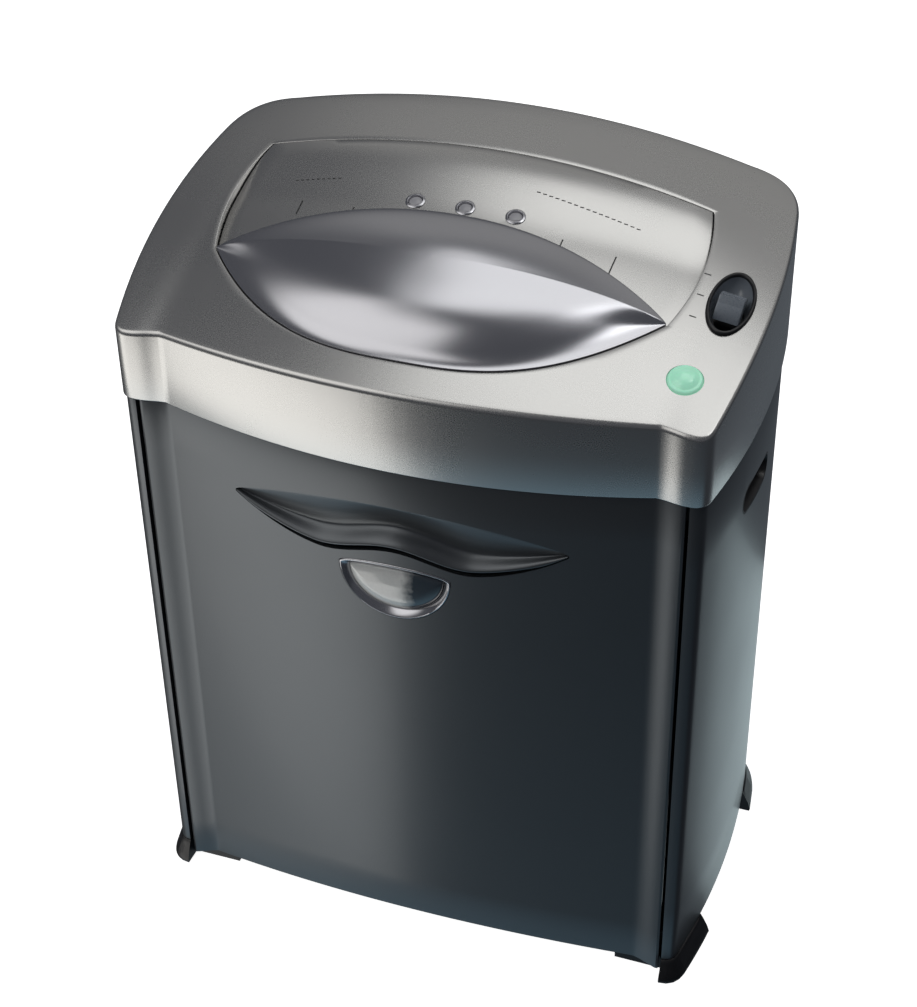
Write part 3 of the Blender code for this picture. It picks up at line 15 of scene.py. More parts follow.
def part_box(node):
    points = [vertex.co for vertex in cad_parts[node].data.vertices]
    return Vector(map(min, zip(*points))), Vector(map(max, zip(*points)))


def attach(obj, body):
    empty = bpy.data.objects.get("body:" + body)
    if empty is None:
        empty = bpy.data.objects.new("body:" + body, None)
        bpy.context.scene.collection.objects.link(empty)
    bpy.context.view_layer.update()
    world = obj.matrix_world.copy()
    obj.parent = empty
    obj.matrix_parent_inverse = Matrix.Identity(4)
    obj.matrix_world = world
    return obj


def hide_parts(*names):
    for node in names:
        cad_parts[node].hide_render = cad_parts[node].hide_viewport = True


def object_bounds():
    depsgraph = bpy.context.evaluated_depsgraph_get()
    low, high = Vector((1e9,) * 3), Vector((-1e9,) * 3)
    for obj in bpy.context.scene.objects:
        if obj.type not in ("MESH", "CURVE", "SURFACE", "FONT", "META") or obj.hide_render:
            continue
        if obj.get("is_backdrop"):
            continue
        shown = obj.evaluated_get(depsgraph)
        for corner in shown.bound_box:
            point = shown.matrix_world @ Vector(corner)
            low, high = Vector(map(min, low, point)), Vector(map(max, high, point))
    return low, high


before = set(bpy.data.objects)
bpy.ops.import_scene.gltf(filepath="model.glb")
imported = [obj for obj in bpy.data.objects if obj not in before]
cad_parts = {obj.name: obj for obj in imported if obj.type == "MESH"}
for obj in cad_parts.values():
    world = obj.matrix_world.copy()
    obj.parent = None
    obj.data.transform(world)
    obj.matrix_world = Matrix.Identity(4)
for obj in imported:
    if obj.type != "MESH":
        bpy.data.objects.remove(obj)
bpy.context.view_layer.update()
MM = 0.001

# %% [markdown]
# ## The machine's few driving sizes
# Seen from above the casing is one bowed rectangle, and its top is one crowned surface. Both are short
# formulas, so any number of points can be read from them. That beats sculpting, because the hood, the
# deck and the buttons all sit on the same surface.

# %% Driving sizes, in metres
cover_low, cover_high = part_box("top_cover")
SIDE_BOW, FRONT_BOW, BACK_BOW = 0.012, 0.0255, 0.0145
HALF_WIDTH = cover_high.x - SIDE_BOW
FRONT_Y = cover_low.y + FRONT_BOW
BACK_Y = cover_high.y - BACK_BOW
MID_Y = (FRONT_Y + BACK_Y) / 2
CORNER_DEPTH = BACK_Y - FRONT_Y
SEAM_Z = cover_low.z
BOW_HALF = HALF_WIDTH - 0.0315
POST_STEP = 0.0025
FRONT_CORNER, BACK_CORNER = 0.010, 0.034
FRONT_EDGE_Z, TOP_RISE, TOP_HUMP = 0.4737, 0.044, 0.0085
FRONT_CROWN, BACK_CROWN = 0.0088, 0.0255
EDGE_ROUND = 0.0026
COVER_WALL, BODY_INSET, BODY_WALL = 0.0025, 0.002, 0.003
POST_X = HALF_WIDTH - 0.010
PANEL_HALF = POST_X - 0.0025
FOOT_TOP = 0.018
print("plan", round(2 * HALF_WIDTH / MM, 1), "by", round(CORNER_DEPTH / MM, 1), "mm between corners")


# %% [markdown]
# ## The plan and the crown as formulas
# `front_y`, `side_x` and `back_y` give the three bows, `right_side` walks round one side with both
# corners, and `plan` closes the loop. `top_z` is the height of the crowned top.

# %% The plan
def clamp(value, low=0.0, high=1.0):
    return min(high, max(low, value))


def ease(t):
    t = clamp(t)
    return t * t * (3 - 2 * t)


def front_y(x, inset=0.0):
    a = abs(x)
    if a <= BOW_HALF:
        return FRONT_Y - FRONT_BOW * (1 - (a / BOW_HALF) ** 2) + inset
    return FRONT_Y - POST_STEP * ease((a - BOW_HALF) / (0.6 * (HALF_WIDTH - BOW_HALF))) + inset


def side_x(y, inset=0.0):
    t = (y - MID_Y) / (CORNER_DEPTH / 2)
    return HALF_WIDTH + SIDE_BOW * (1 - t * t) - inset


def back_y(x, inset=0.0):
    return BACK_Y + BACK_BOW * (1 - (x / HALF_WIDTH) ** 2) - inset


def bend(start, corner, end, count):
    """A rounded corner from start to end, as a quadratic curve."""
    return [tuple((1 - t) ** 2 * a + 2 * t * (1 - t) * b + t * t * c for a, b, c in zip(start, corner, end))
            for t in (i / count for i in range(count + 1))]


def right_side(inset, front_x, corner_steps=12, side_steps=40):
    """The right side of the plan, from front_x on the front round both corners."""
    front_r, back_r = max(0.004, FRONT_CORNER - inset), max(0.004, BACK_CORNER - inset)
    x1, x2 = HALF_WIDTH - inset - front_r, HALF_WIDTH - inset - back_r
    y1, y2 = front_y(x1, inset), back_y(x2, inset)
    low, high = y1 + front_r, y2 - back_r
    xs = [front_x + (x1 - front_x) * i / 12 for i in range(12)]
    path = [(x, front_y(x, inset)) for x in xs]
    path += bend((x1, y1), (side_x(y1, inset), y1), (side_x(low, inset), low), corner_steps)
    for i in range(1, side_steps):
        y = low + (high - low) * i / side_steps
        path.append((side_x(y, inset), y))
    return path + bend((side_x(high, inset), high), (side_x(y2, inset), y2), (x2, y2), corner_steps + 6)


def plan(inset=0.0, front_steps=72, back_steps=40):
    """The closed plan, anticlockwise, moved inwards by inset."""
    front = [-BOW_HALF + 2 * BOW_HALF * i / front_steps for i in range(front_steps)]
    right = right_side(inset, BOW_HALF)
    x_end = right[-1][0]
    back = [x_end - 2 * x_end * i / back_steps for i in range(1, back_steps)]
    loop = [(x, front_y(x, inset)) for x in front] + right + [(x, back_y(x, inset)) for x in back]
    return loop + [(-x, y) for x, y in reversed(right[1:])]


def top_z(x, y):
    start = front_y(x)
    u = clamp((y - start) / (BACK_Y - start))
    edge = FRONT_EDGE_Z + TOP_RISE * u + TOP_HUMP * 4 * u * (1 - u)
    crown = FRONT_CROWN + (BACK_CROWN - FRONT_CROWN) * sin(u * pi / 2)
    return edge + crown * (1 - (x / (HALF_WIDTH + SIDE_BOW)) ** 2)


def axes_at(spot, *axes):
    """A frame at the spot with these three axes."""
    return Matrix.Translation(spot) @ Matrix(axes).transposed().to_4x4()


def seat_on(height, x, y):
    """A frame on the surface: local Z is its normal, local X runs to the right."""
    step = 0.002
    slope_x = (height(x + step, y) - height(x - step, y)) / (2 * step)
    slope_y = (height(x, y + step) - height(x, y - step)) / (2 * step)
    up = Vector((-slope_x, -slope_y, 1)).normalized()
    right = Vector((1, 0, slope_x)).normalized()
    return axes_at((x, y, height(x, y)), right, up.cross(right), up)


print("plan of", len(plan()), "points; top", round(top_z(0, FRONT_Y) / MM, 1), "to",
      round(top_z(0, BACK_Y) / MM, 1), "mm high")


# %% [markdown]
# ## Small tools for making meshes
# Almost every shell here is a stack of rings with the same number of points, skinned with quads. `loft`
# does that, `lathe` turns a profile into rings, and `carve` cuts with an exact Boolean and bakes the cut
# in, so that no hidden cutter is left in the scene.

# %% Mesh tools
def show(name, data):
    """A new object of this data, placed in the scene."""
    made = bpy.data.objects.new(name, data)
    bpy.context.scene.collection.objects.link(made)
    return made


def soften(mesh, angle=32):
    mesh.shade_smooth()
    mesh.set_sharp_from_angle(angle=radians(angle))


def mesh_object(name, points, faces, angle=32):
    mesh = bpy.data.meshes.new(name)
    mesh.from_pydata([tuple(p) for p in points], [], faces)
    form = bmesh.new()
    form.from_mesh(mesh)
    bmesh.ops.remove_doubles(form, verts=form.verts, dist=1e-6)
    bmesh.ops.recalc_face_normals(form, faces=form.faces)
    form.to_mesh(mesh)
    form.free()
    soften(mesh, angle)
    return show(name, mesh)


def loft(name, rings, closed=False, matrix=None, angle=32, first_cap=True, last_cap=True):
    """Skins rings of equal length, with end caps, or back to the first ring if closed."""
    count, total = len(rings[0]), len(rings)
    points = [Vector(p) for ring in rings for p in ring]
    if matrix is not None:
        points = [matrix @ p for p in points]
    faces = []
    for r in range(total if closed else total - 1):
        a, b = r * count, (r + 1) % total * count
        faces += [(a + i, a + (i + 1) % count, b + (i + 1) % count, b + i) for i in range(count)]
    if not closed and first_cap:
        faces.append(tuple(range(count))[::-1])
    if not closed and last_cap:
        faces.append(tuple(range((total - 1) * count, total * count)))
    return mesh_object(name, points, faces, angle)


def turns(count):
    return [tau * i / count for i in range(count)]


def lathe(name, profile, segments=48, matrix=None, closed=False, angle=32):
    """A turned piece about local Z from (radius, height) points."""
    rings = [[(r * cos(t), r * sin(t), h) for t in turns(segments)] for r, h in profile]
    return loft(name, rings, closed, matrix, angle)


def rounded(profile, radius, steps=4):
    """The same profile with each inner corner bent to about this radius."""
    made = [profile[0]]
    for before, here, after in zip(profile, profile[1:], profile[2:]):
        a, b, c = Vector(before), Vector(here), Vector(after)
        reach = min(radius, (a - b).length / 2.2, (c - b).length / 2.2)
        made += bend(b + (a - b).normalized() * reach, b, b + (c - b).normalized() * reach, steps)
    return made + [profile[-1]]


def carve(made, *cutters):
    """Cuts the cutters from the piece, bakes the result and removes the cutters."""
    for cutter in cutters:
        step = made.modifiers.new("cut", "BOOLEAN")
        step.object, step.solver = cutter, "EXACT"
    shape = made.evaluated_get(bpy.context.evaluated_depsgraph_get())
    mesh = bpy.data.meshes.new_from_object(shape)
    made.modifiers.clear()
    made.data = mesh
    soften(mesh)
    for cutter in cutters:
        bpy.data.objects.remove(cutter)
    return made


def join(name, *pieces):
    """One object from several, each keeping its own closed shape."""
    form = bmesh.new()
    for piece in pieces:
        form.from_mesh(piece.data)
    mesh = bpy.data.meshes.new(name)
    form.to_mesh(mesh)
    form.free()
    for piece in pieces:
        bpy.data.objects.remove(piece)
    soften(mesh)
    return show(name, mesh)


def place(made, body, slot, *nodes):
    """Gives the piece its finish, lets it ride, and hides the plain nodes that it stands for."""
    made.data.materials.clear()
    made.data.materials.append(FINISHES[slot])
    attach(made, body)
    if nodes:
        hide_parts(*nodes)
    return made


print("mesh tools ready")

# %% [markdown]
# ## Shared surface effects
# Moulded plastic is never perfectly even: the tool leaves a fine grain, the gloss wanders a little, and
# dust settles on what faces up. These effects are node groups, built once, and each finish places them
# with its own values. A picture could do this too, but a procedure stays sharp at any size.

# %% Node helpers
FLOAT, COLOUR, VECTOR = "NodeSocketFloat", "NodeSocketColor", "NodeSocketVector"


def group_of(name, outputs, **inputs):
    """A shared group. Colours are inputs of three numbers, and underscores stand for spaces."""
    made = bpy.data.node_groups.new(name, "ShaderNodeTree")
    made.interface.new_socket("Vector", in_out="INPUT", socket_type=VECTOR)
    for label, value in inputs.items():
        kind = COLOUR if isinstance(value, tuple) else FLOAT
        socket = made.interface.new_socket(label.replace("_", " "), in_out="INPUT", socket_type=kind)
        socket.default_value = (*value, 1.0) if kind == COLOUR else value
    for label in outputs:
        made.interface.new_socket(label, in_out="OUTPUT", socket_type=COLOUR if label == "Colour" else FLOAT)
    return made, made.nodes.new("NodeGroupInput").outputs, made.nodes.new("NodeGroupOutput")


def feed(tree, node, **values):
    """Sets the named inputs, or links sockets to them; underscores stand for spaces."""
    for label, value in values.items():
        connect(tree, value, node.inputs[label.replace("_", " ")])


def connect(tree, value, socket):
    if isinstance(value, bpy.types.NodeSocket):
        tree.links.new(value, socket)
    else:
        socket.default_value = (*value, 1.0) if socket.type == "RGBA" else value


def noise(tree, scale, detail, rough, vector):
    made = tree.nodes.new("ShaderNodeTexNoise")
    feed(tree, made, Detail=detail, Roughness=rough, Scale=scale, Vector=vector)
    return made.outputs["Fac"]


def math_node(tree, operation, a, b=0.0):
    made = tree.nodes.new("ShaderNodeMath")
    made.operation = operation
    connect(tree, a, made.inputs[0])
    connect(tree, b, made.inputs[1])
    return made.outputs[0]


def spread(tree, value, low, high, from_low=0.3, from_high=0.7):
    """Maps a noise value onto a range; the ends may be sockets."""
    made = tree.nodes.new("ShaderNodeMapRange")
    feed(tree, made, Value=value, From_Min=from_low, From_Max=from_high, To_Min=low, To_Max=high)
    return made.outputs["Result"]


def mix_colour(tree, factor, a, b):
    made = tree.nodes.new("ShaderNodeMix")
    made.data_type = "RGBA"
    for i, value in ((0, factor), (6, a), (7, b)):
        connect(tree, value, made.inputs[i])
    return made.outputs[2]


def where(tree, stretch):
    """Object coordinates, which stay with the piece, stretched along its axes."""
    scale = tree.nodes.new("ShaderNodeMapping")
    feed(tree, scale, Scale=stretch, Vector=tree.nodes.new("ShaderNodeTexCoord").outputs["Object"])
    return scale.outputs["Vector"]


print("node helpers ready")

# %% Group: moulded grain
grain, g_in, g_out = group_of("moulded_grain", ("Height", "Gloss", "Cloud"), Grain_Scale=900.0,
                              Cloud_Scale=12.0, Low_Gloss=0.3, High_Gloss=0.4)
vector = g_in["Vector"]
fine = noise(grain, g_in["Grain Scale"], 4.0, 0.6, vector)
cloud = noise(grain, g_in["Cloud Scale"], 4.0, 0.5, vector)
both = math_node(grain, "ADD", math_node(grain, "MULTIPLY", cloud, 0.7),
                 math_node(grain, "MULTIPLY", fine, 0.3))
gloss = spread(grain, both, g_in["Low Gloss"], g_in["High Gloss"])
feed(grain, g_out, Height=fine, Gloss=gloss, Cloud=cloud)
print("group", grain.name, "feeds bump and roughness")

# %% [markdown]
# ## Metallic paint
# The head is painted with flakes of aluminium in a clear binder. Close up each flake has its own tone
# and tilt, and from far away they blur into satin. Cells of a Voronoi texture make good flakes: one
# random tone per cell, and a very small bump.

# %% Group: paint flake
flake, f_in, f_out = group_of("paint_flake", ("Colour", "Height"), Flake_Scale=1600.0,
                              Dark=(0.4, 0.4, 0.4), Light=(0.6, 0.6, 0.6))
vector = f_in["Vector"]
cells = flake.nodes.new("ShaderNodeTexVoronoi")
feed(flake, cells, Vector=vector, Scale=f_in["Flake Scale"])
tone = flake.nodes.new("ShaderNodeSeparateColor")
feed(flake, tone, Color=cells.outputs["Color"])
drift = noise(flake, 9.0, 3.0, 0.5, vector)
mixed = math_node(flake, "ADD", math_node(flake, "MULTIPLY", tone.outputs[0], 0.7),
                  math_node(flake, "MULTIPLY", drift, 0.3))
feed(flake, f_out, Colour=mix_colour(flake, mixed, f_in["Dark"], f_in["Light"]),
     Height=tone.outputs[1])
print("group", flake.name, "feeds colour and bump")

# %% Group: settled dust
dust, d_in, d_out = group_of("settled_dust", ("Colour",), Amount=0.05, Base=(0.1, 0.1, 0.1),
                             Dust=(0.45, 0.44, 0.42))
face_up = dust.nodes.new("ShaderNodeSeparateXYZ")
feed(dust, face_up, Vector=dust.nodes.new("ShaderNodeNewGeometry").outputs["Normal"])
upward = spread(dust, face_up.outputs["Z"], 0.0, 1.0, 0.2, 0.95)
specks = spread(dust, noise(dust, 70.0, 6.0, 0.65, d_in["Vector"]), 0.0, 1.0, 0.42, 0.75)
mask = math_node(dust, "MULTIPLY", math_node(dust, "MULTIPLY", upward, specks), d_in["Amount"])
feed(dust, d_out, Colour=mix_colour(dust, mask, d_in["Base"], d_in["Dust"]))
print("group", dust.name, "whitens what faces up")

# %% Group: tool marks on metal
marks, m_in, m_out = group_of("tool_marks", ("Colour", "Gloss", "Height"), Mark_Scale=400.0, Low_Gloss=0.25,
                              High_Gloss=0.45, Dark=(0.3, 0.3, 0.3), Light=(0.5, 0.5, 0.5))
lines = noise(marks, m_in["Mark Scale"], 5.0, 0.7, m_in["Vector"])
stain = noise(marks, 25.0, 4.0, 0.5, m_in["Vector"])
feed(marks, m_out, Height=lines,
     Gloss=spread(marks, lines, m_in["Low Gloss"], m_in["High Gloss"]),
     Colour=mix_colour(marks, stain, m_in["Dark"], m_in["Light"]))
print("group", marks.name, "feeds colour, roughness and bump")

# %% [markdown]
# ## The finishes
# Each finish is a Principled shader with its constants set on its own sockets. The groups only bring
# what varies: tone, gloss and fine relief. One function per family keeps the thirteen finishes short.

# %% Finish helpers
FINISHES = {}


def shade(colour, factor):
    return tuple(min(1.0, c * factor) for c in colour)


def new_finish(name, roughness, metallic=0.0, coat=0.0, coat_roughness=0.1, ior=1.5, stretch=(1, 1, 1)):
    made = bpy.data.materials.new(name)
    made.use_nodes = True
    tree = made.node_tree
    shader = tree.nodes["Principled BSDF"]
    feed(tree, shader, Roughness=roughness, Metallic=metallic, Coat_Weight=coat,
         Coat_Roughness=coat_roughness, IOR=ior)
    FINISHES[name] = made
    return tree, shader, where(tree, stretch)


def use(tree, group, vector, **values):
    """Places a shared group and feeds its inputs."""
    made = tree.nodes.new("ShaderNodeGroup")
    made.node_tree = group
    feed(tree, made, Vector=vector, **values)
    return made.outputs


def relief(tree, shader, height, depth, strength=1.0):
    bump = tree.nodes.new("ShaderNodeBump")
    feed(tree, bump, Strength=strength, Distance=depth, Height=height)
    feed(tree, shader, Normal=bump.outputs["Normal"])


def painted(name, colour, gloss, metallic, flake_scale=3600.0, coat=0.0):
    tree, shader, vector = new_finish(name, gloss, metallic, coat, 0.15)
    flakes = use(tree, flake, vector, Flake_Scale=flake_scale,
                 Dark=shade(colour, 0.96), Light=shade(colour, 1.04))
    settled = use(tree, dust, vector, Amount=0.02, Base=flakes["Colour"])
    grains = use(tree, grain, vector, Grain_Scale=1100.0, Low_Gloss=gloss - 0.015, High_Gloss=gloss + 0.02)
    feed(tree, shader, Base_Color=settled["Colour"], Roughness=grains["Gloss"])
    relief(tree, shader, flakes["Height"], 2e-7, 0.15)


def moulded(name, colour, gloss, grain_scale=1200.0, depth=4e-6, coat=0.0):
    tree, shader, vector = new_finish(name, gloss, 0.0, coat, 0.08)
    grains = use(tree, grain, vector, Grain_Scale=grain_scale,
                 Low_Gloss=gloss - 0.04, High_Gloss=gloss + 0.05)
    tone = mix_colour(tree, grains["Cloud"], shade(colour, 0.88), shade(colour, 1.12))
    settled = use(tree, dust, vector, Amount=0.05, Base=tone)
    feed(tree, shader, Base_Color=settled["Colour"], Roughness=grains["Gloss"])
    relief(tree, shader, grains["Height"], depth)


def worked(name, colour, low, high, scale, stretch=(1, 1, 1)):
    tree, shader, vector = new_finish(name, low, 1.0, stretch=stretch)
    made = use(tree, marks, vector, Mark_Scale=scale, Low_Gloss=low, High_Gloss=high,
               Dark=shade(colour, 0.75), Light=shade(colour, 1.15))
    feed(tree, shader, Base_Color=made["Colour"], Roughness=made["Gloss"])
    relief(tree, shader, made["Height"], 3e-6)


print("finish helpers ready")

# %% The painted and moulded finishes of the outside
painted("silver_paint", (0.56, 0.555, 0.545), 0.27, 0.90)
painted("hood_silver", (0.50, 0.50, 0.53), 0.19, 0.92, 4000.0, 0.25)
painted("charcoal_shell", (0.115, 0.125, 0.135), 0.32, 0.62, 3800.0, 0.12)
moulded("black_plastic", (0.010, 0.010, 0.012), 0.38)
moulded("slate_plastic", (0.24, 0.27, 0.31), 0.26, 900.0, 3e-6, 0.4)
moulded("lamp_lens", (0.42, 0.42, 0.45), 0.25, 1500.0, 1e-6, 0.3)
moulded("nylon_gear", (0.72, 0.70, 0.62), 0.45)
print(len(FINISHES), "outer finishes")

# %% The clear and the green plastic
moulded("green_button", (0.42, 0.92, 0.66), 0.22, 1500.0, 1e-6, 0.5)
green = FINISHES["green_button"].node_tree
# The emission paints a glow that keeps the green button bright under the dim studio light.
feed(green, green.nodes["Principled BSDF"], Subsurface_Weight=0.35, Subsurface_Radius=(0.5, 1.0, 0.7),
     Subsurface_Scale=0.003, Emission_Color=(0.34, 0.66, 0.50), Emission_Strength=0.45)
# The left of the lens is painted pale with a fine speckle, a painted reflection on the dark smoke.
tree, shader, vector = new_finish("smoked_window", 0.10, coat=1.0)
along = tree.nodes.new("ShaderNodeSeparateXYZ")
feed(tree, along, Vector=vector)
ragged = math_node(tree, "MULTIPLY", noise(tree, 160.0, 3.0, 0.5, vector), 0.012)
# The mask of the painted reflection: full on the left of the lens, none on the right, with a ragged edge.
painted_reflection = spread(tree, math_node(tree, "ADD", along.outputs[0], ragged), 1.0, 0.0, 0.010, 0.019)
reflection_speckle = spread(tree, noise(tree, 520.0, 4.0, 0.6, vector), 0.75, 1.0)
reflection_tone = mix_colour(tree, reflection_speckle, (0.62, 0.64, 0.64), (0.86, 0.87, 0.85))
feed(tree, shader, Base_Color=mix_colour(tree, painted_reflection, (0.045, 0.062, 0.080), reflection_tone))
print("green button and smoked window")

# %% The metals inside
worked("cutter_steel", (0.52, 0.52, 0.54), 0.22, 0.42, 260.0, (0.15, 1, 1))
worked("zinc_plate", (0.62, 0.62, 0.63), 0.35, 0.55, 90.0)
worked("bronze_bush", (0.56, 0.36, 0.17), 0.3, 0.5, 300.0, (0.2, 1, 1))
print("three metals")

# %% [markdown]
# ## The circuit board
# A board is green lacquer over copper tracks. A brick pattern gives straight tracks with square corners,
# which reads as a board without drawing a real circuit.

# %% Board lacquer
tree, shader, vector = new_finish("circuit_board", 0.3, coat=0.3)
tracks = tree.nodes.new("ShaderNodeTexBrick")
feed(tree, tracks, Vector=vector, Scale=260.0, Mortar_Size=0.03, Color1=(0.015, 0.11, 0.05),
     Color2=(0.02, 0.16, 0.07), Mortar=(0.10, 0.24, 0.08))
feed(tree, shader, Base_Color=tracks.outputs["Color"])
relief(tree, shader, tracks.outputs["Fac"], 2e-5)
print("finishes:", ", ".join(sorted(FINISHES)))

# %% [markdown]
# ## Giving the plain nodes their finish
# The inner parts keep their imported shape. Each came with a plain material named after its slot, and the
# finish of that name takes its place.

# %% Dress every node
packed_finishes = set()
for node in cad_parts.values():
    packed_finishes.add(node.data.materials[0])
    slot = node.data.materials[0].name
    node.data.materials.clear()
    node.data.materials.append(FINISHES[slot])
for plain in packed_finishes:
    bpy.data.materials.remove(plain)
for slot, finish in FINISHES.items():
    finish.name = slot
print("dressed", len(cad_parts), "nodes in", len(FINISHES), "finishes")

# %% [markdown]
# ## The feed area's outlines
# The hood is a lens: two arcs between two pointed tips. The deck behind the slot shares its lower arc
# and ends in a bowed back edge. The deck dips towards the slot, so paper runs down into it.

# %% Outlines of the hood and the deck
FEED_X = -0.002
HOOD_HALF, TIP_Y = 0.149, MID_Y - 0.0455
HOOD_FRONT, HOOD_BACK, HOOD_RISE = 0.072, 0.039, 0.014
DECK_SIDE, DECK_BACK, DECK_BOW = 0.155, MID_Y + 0.0575, 0.010
THROAT, THROAT_GAP, THROAT_Y = 0.224, 0.010, MID_Y + 0.0005
RECESS = 0.006
FRONT_ARC_POWER, BACK_ARC_POWER = 2.6, 2.2
FEED_CENTRE = (FEED_X, TIP_Y + 0.0182)


def lens_front(x):
    return TIP_Y - HOOD_FRONT * (1 - clamp(abs(x - FEED_X) / HOOD_HALF) ** FRONT_ARC_POWER)


def lens_back(x):
    return TIP_Y + HOOD_BACK * (1 - clamp(abs(x - FEED_X) / HOOD_HALF) ** BACK_ARC_POWER)


def deck_outline(steps=80):
    xs = [FEED_X - HOOD_HALF * cos(pi * i / steps) for i in range(steps + 1)]
    half = DECK_SIDE - 0.004
    right = []
    for i in range(1, 20):
        t = i / 20
        x = FEED_X + HOOD_HALF + (half - HOOD_HALF) * t + 4 * t * (1 - t) * 0.008
        right.append((x, TIP_Y + (DECK_BACK - TIP_Y) * t))
    back = [1 - 2 * i / 40 for i in range(41)]
    back = [(FEED_X + half * t, DECK_BACK + DECK_BOW * (1 - t * t)) for t in back]
    left = [(2 * FEED_X - x, y) for x, y in reversed(right)]
    return [(x, lens_front(x)) for x in xs] + right + back + left


def deck_z(x, y):
    """The deck: deepest at the slot, level with the cover at its back edge."""
    slot_rear = THROAT_Y + THROAT_GAP / 2
    return top_z(x, y) - RECESS * (1 - ease((y - slot_rear) / (DECK_BACK - slot_rear)))


print("hood", round(2 * HOOD_HALF / MM), "mm long; deck outline of", len(deck_outline()), "points")


# %% [markdown]
# ## The silver head
# Its wall, its rounded top edge and its crowned top are one moulding. Rings run up the wall, round the
# edge and in to the deck's opening. To meet a corner of the opening exactly, we shoot rays from the
# opening's centre at every corner angle of both outlines, so that rim and opening share their points.

# %% Rays that match two outlines
def ray_hits(outline, centre, angles):
    """For each angle, the outline's segment and the fraction along it that the ray meets."""
    bearing = [atan2(y - centre[1], x - centre[0]) for x, y in outline]
    count, hits = len(outline), []
    for angle in angles:
        dx, dy = cos(angle), sin(angle)
        for i in range(count):
            turn = (bearing[(i + 1) % count] - bearing[i] + pi) % tau - pi
            ahead = (angle - bearing[i] + 1e-9) % tau
            if turn > 0 and ahead <= turn + 2e-9:
                (x0, y0), (x1, y1) = outline[i], outline[(i + 1) % count]
                x0, y0, x1, y1 = x0 - centre[0], y0 - centre[1], x1 - centre[0], y1 - centre[1]
                across0, across1 = x0 * dy - y0 * dx, x1 * dy - y1 * dx
                span = across0 - across1
                hits.append((i, clamp(across0 / span) if abs(span) > 1e-12 else 0.0))
                break
    return hits


def at(outline, hit):
    i, t = hit
    (x0, y0), (x1, y1) = outline[i], outline[(i + 1) % len(outline)]
    return x0 + (x1 - x0) * t, y0 + (y1 - y0) * t


def scaled_from(centre, x, y, share):
    return centre[0] + (x - centre[0]) * share, centre[1] + (y - centre[1]) * share


def moved_out(outline, grow):
    """The outline with each point moved along its ray by about grow."""
    return [scaled_from(FEED_CENTRE, x, y, 1 + grow / hypot(x - FEED_CENTRE[0], y - FEED_CENTRE[1]))
            for x, y in outline]


RIM, OPENING = plan(EDGE_ROUND), deck_outline()
ANGLES = sorted({round(atan2(y - FEED_CENTRE[1], x - FEED_CENTRE[0]), 6) for x, y in RIM + OPENING})
RIM_HITS = ray_hits(RIM, FEED_CENTRE, ANGLES)
OPENING_HITS = ray_hits(OPENING, FEED_CENTRE, ANGLES)
print(len(ANGLES), "rays,", len(RIM_HITS), "and", len(OPENING_HITS), "hits")

# %% The head shell
LOW_EDGE = 0.0009


def ring_on(loop, hits, height):
    return [(x, y, height(x, y)) for x, y in (at(loop, hit) for hit in hits)]


def wall_ring(inset, height):
    return ring_on(plan(inset), RIM_HITS, height)


def opening_ring(grow, height):
    return ring_on(moved_out(OPENING, grow), OPENING_HITS, height)


def below_top(drop):
    return lambda x, y: top_z(x, y) - drop


def below_both(drop):
    """Under the top by drop, and at least a little under the deck."""
    return lambda x, y: min(top_z(x, y) - drop, deck_z(x, y) - 0.0006)


outer = [wall_ring(LOW_EDGE * (1 - sin(t)), lambda x, y, t=t: SEAM_Z + LOW_EDGE * (1 - cos(t)))
         for t in (0, pi / 6, pi / 3, pi / 2)]
outer.append(wall_ring(0, lambda x, y: (SEAM_Z + top_z(x, y)) / 2))
for t in (pi / 2 * i / 6 for i in range(7)):
    outer.append(wall_ring(EDGE_ROUND * (1 - cos(t)), below_top(EDGE_ROUND * (1 - sin(t)))))
rim_spots, brim = [at(RIM, hit) for hit in RIM_HITS], moved_out(OPENING, 0.0012)
brim_spots = [at(brim, hit) for hit in OPENING_HITS]
for i in range(1, 15):
    spots = [(x0 + (x1 - x0) * i / 14, y0 + (y1 - y0) * i / 14)
             for (x0, y0), (x1, y1) in zip(rim_spots, brim_spots)]
    outer.append([(x, y, top_z(x, y)) for x, y in spots])
outer += [opening_ring(grow, below_top(drop)) for grow, drop in ((0.0006, 0.00025), (0.0004, 0.0008))]
outer.append(opening_ring(0.0004, below_both(0.001)))
inner = [opening_ring(0.0016, below_both(0.0012)), opening_ring(0.0016, below_top(COVER_WALL)),
         wall_ring(EDGE_ROUND + COVER_WALL, below_top(COVER_WALL * 1.3)),
         wall_ring(COVER_WALL, below_top(EDGE_ROUND + COVER_WALL)),
         wall_ring(COVER_WALL, lambda x, y: SEAM_Z)]
head = loft("head_shell", outer + inner, closed=True)
print("head shell", len(head.data.polygons), "faces")

# %% [markdown]
# ## Openings for the controls
# The rocker's dish, the round power button and the cord gland each sit in a hole. A Boolean cut is the
# plain way to make them, since the holes lie square to the curved skin.

# %% Cut the controls' openings
SWITCH_X, SWITCH_Y = HALF_WIDTH - 0.014, MID_Y - 0.0155
SWITCH_HALF_X, SWITCH_HALF_Y = 0.0145, 0.0275
BUTTON_X, BUTTON_Y, BUTTON_R = HALF_WIDTH - 0.0255, MID_Y - 0.0800, 0.0108
GLAND_X, GLAND_Z, GLAND_R = HALF_WIDTH - 0.0735, 0.450, 0.0075
SWITCH_SEAT = seat_on(top_z, SWITCH_X, SWITCH_Y)
BUTTON_SEAT = seat_on(top_z, BUTTON_X, BUTTON_Y)


def along_y(x, y, z):
    """Local Z along world +Y, towards the back."""
    return Matrix.Translation((x, y, z)) @ Matrix.Rotation(-pi / 2, 4, "X")


def oval_ring(half_x, half_y, z, steps=64):
    return [(half_x * cos(t), half_y * sin(t), z) for t in turns(steps)]


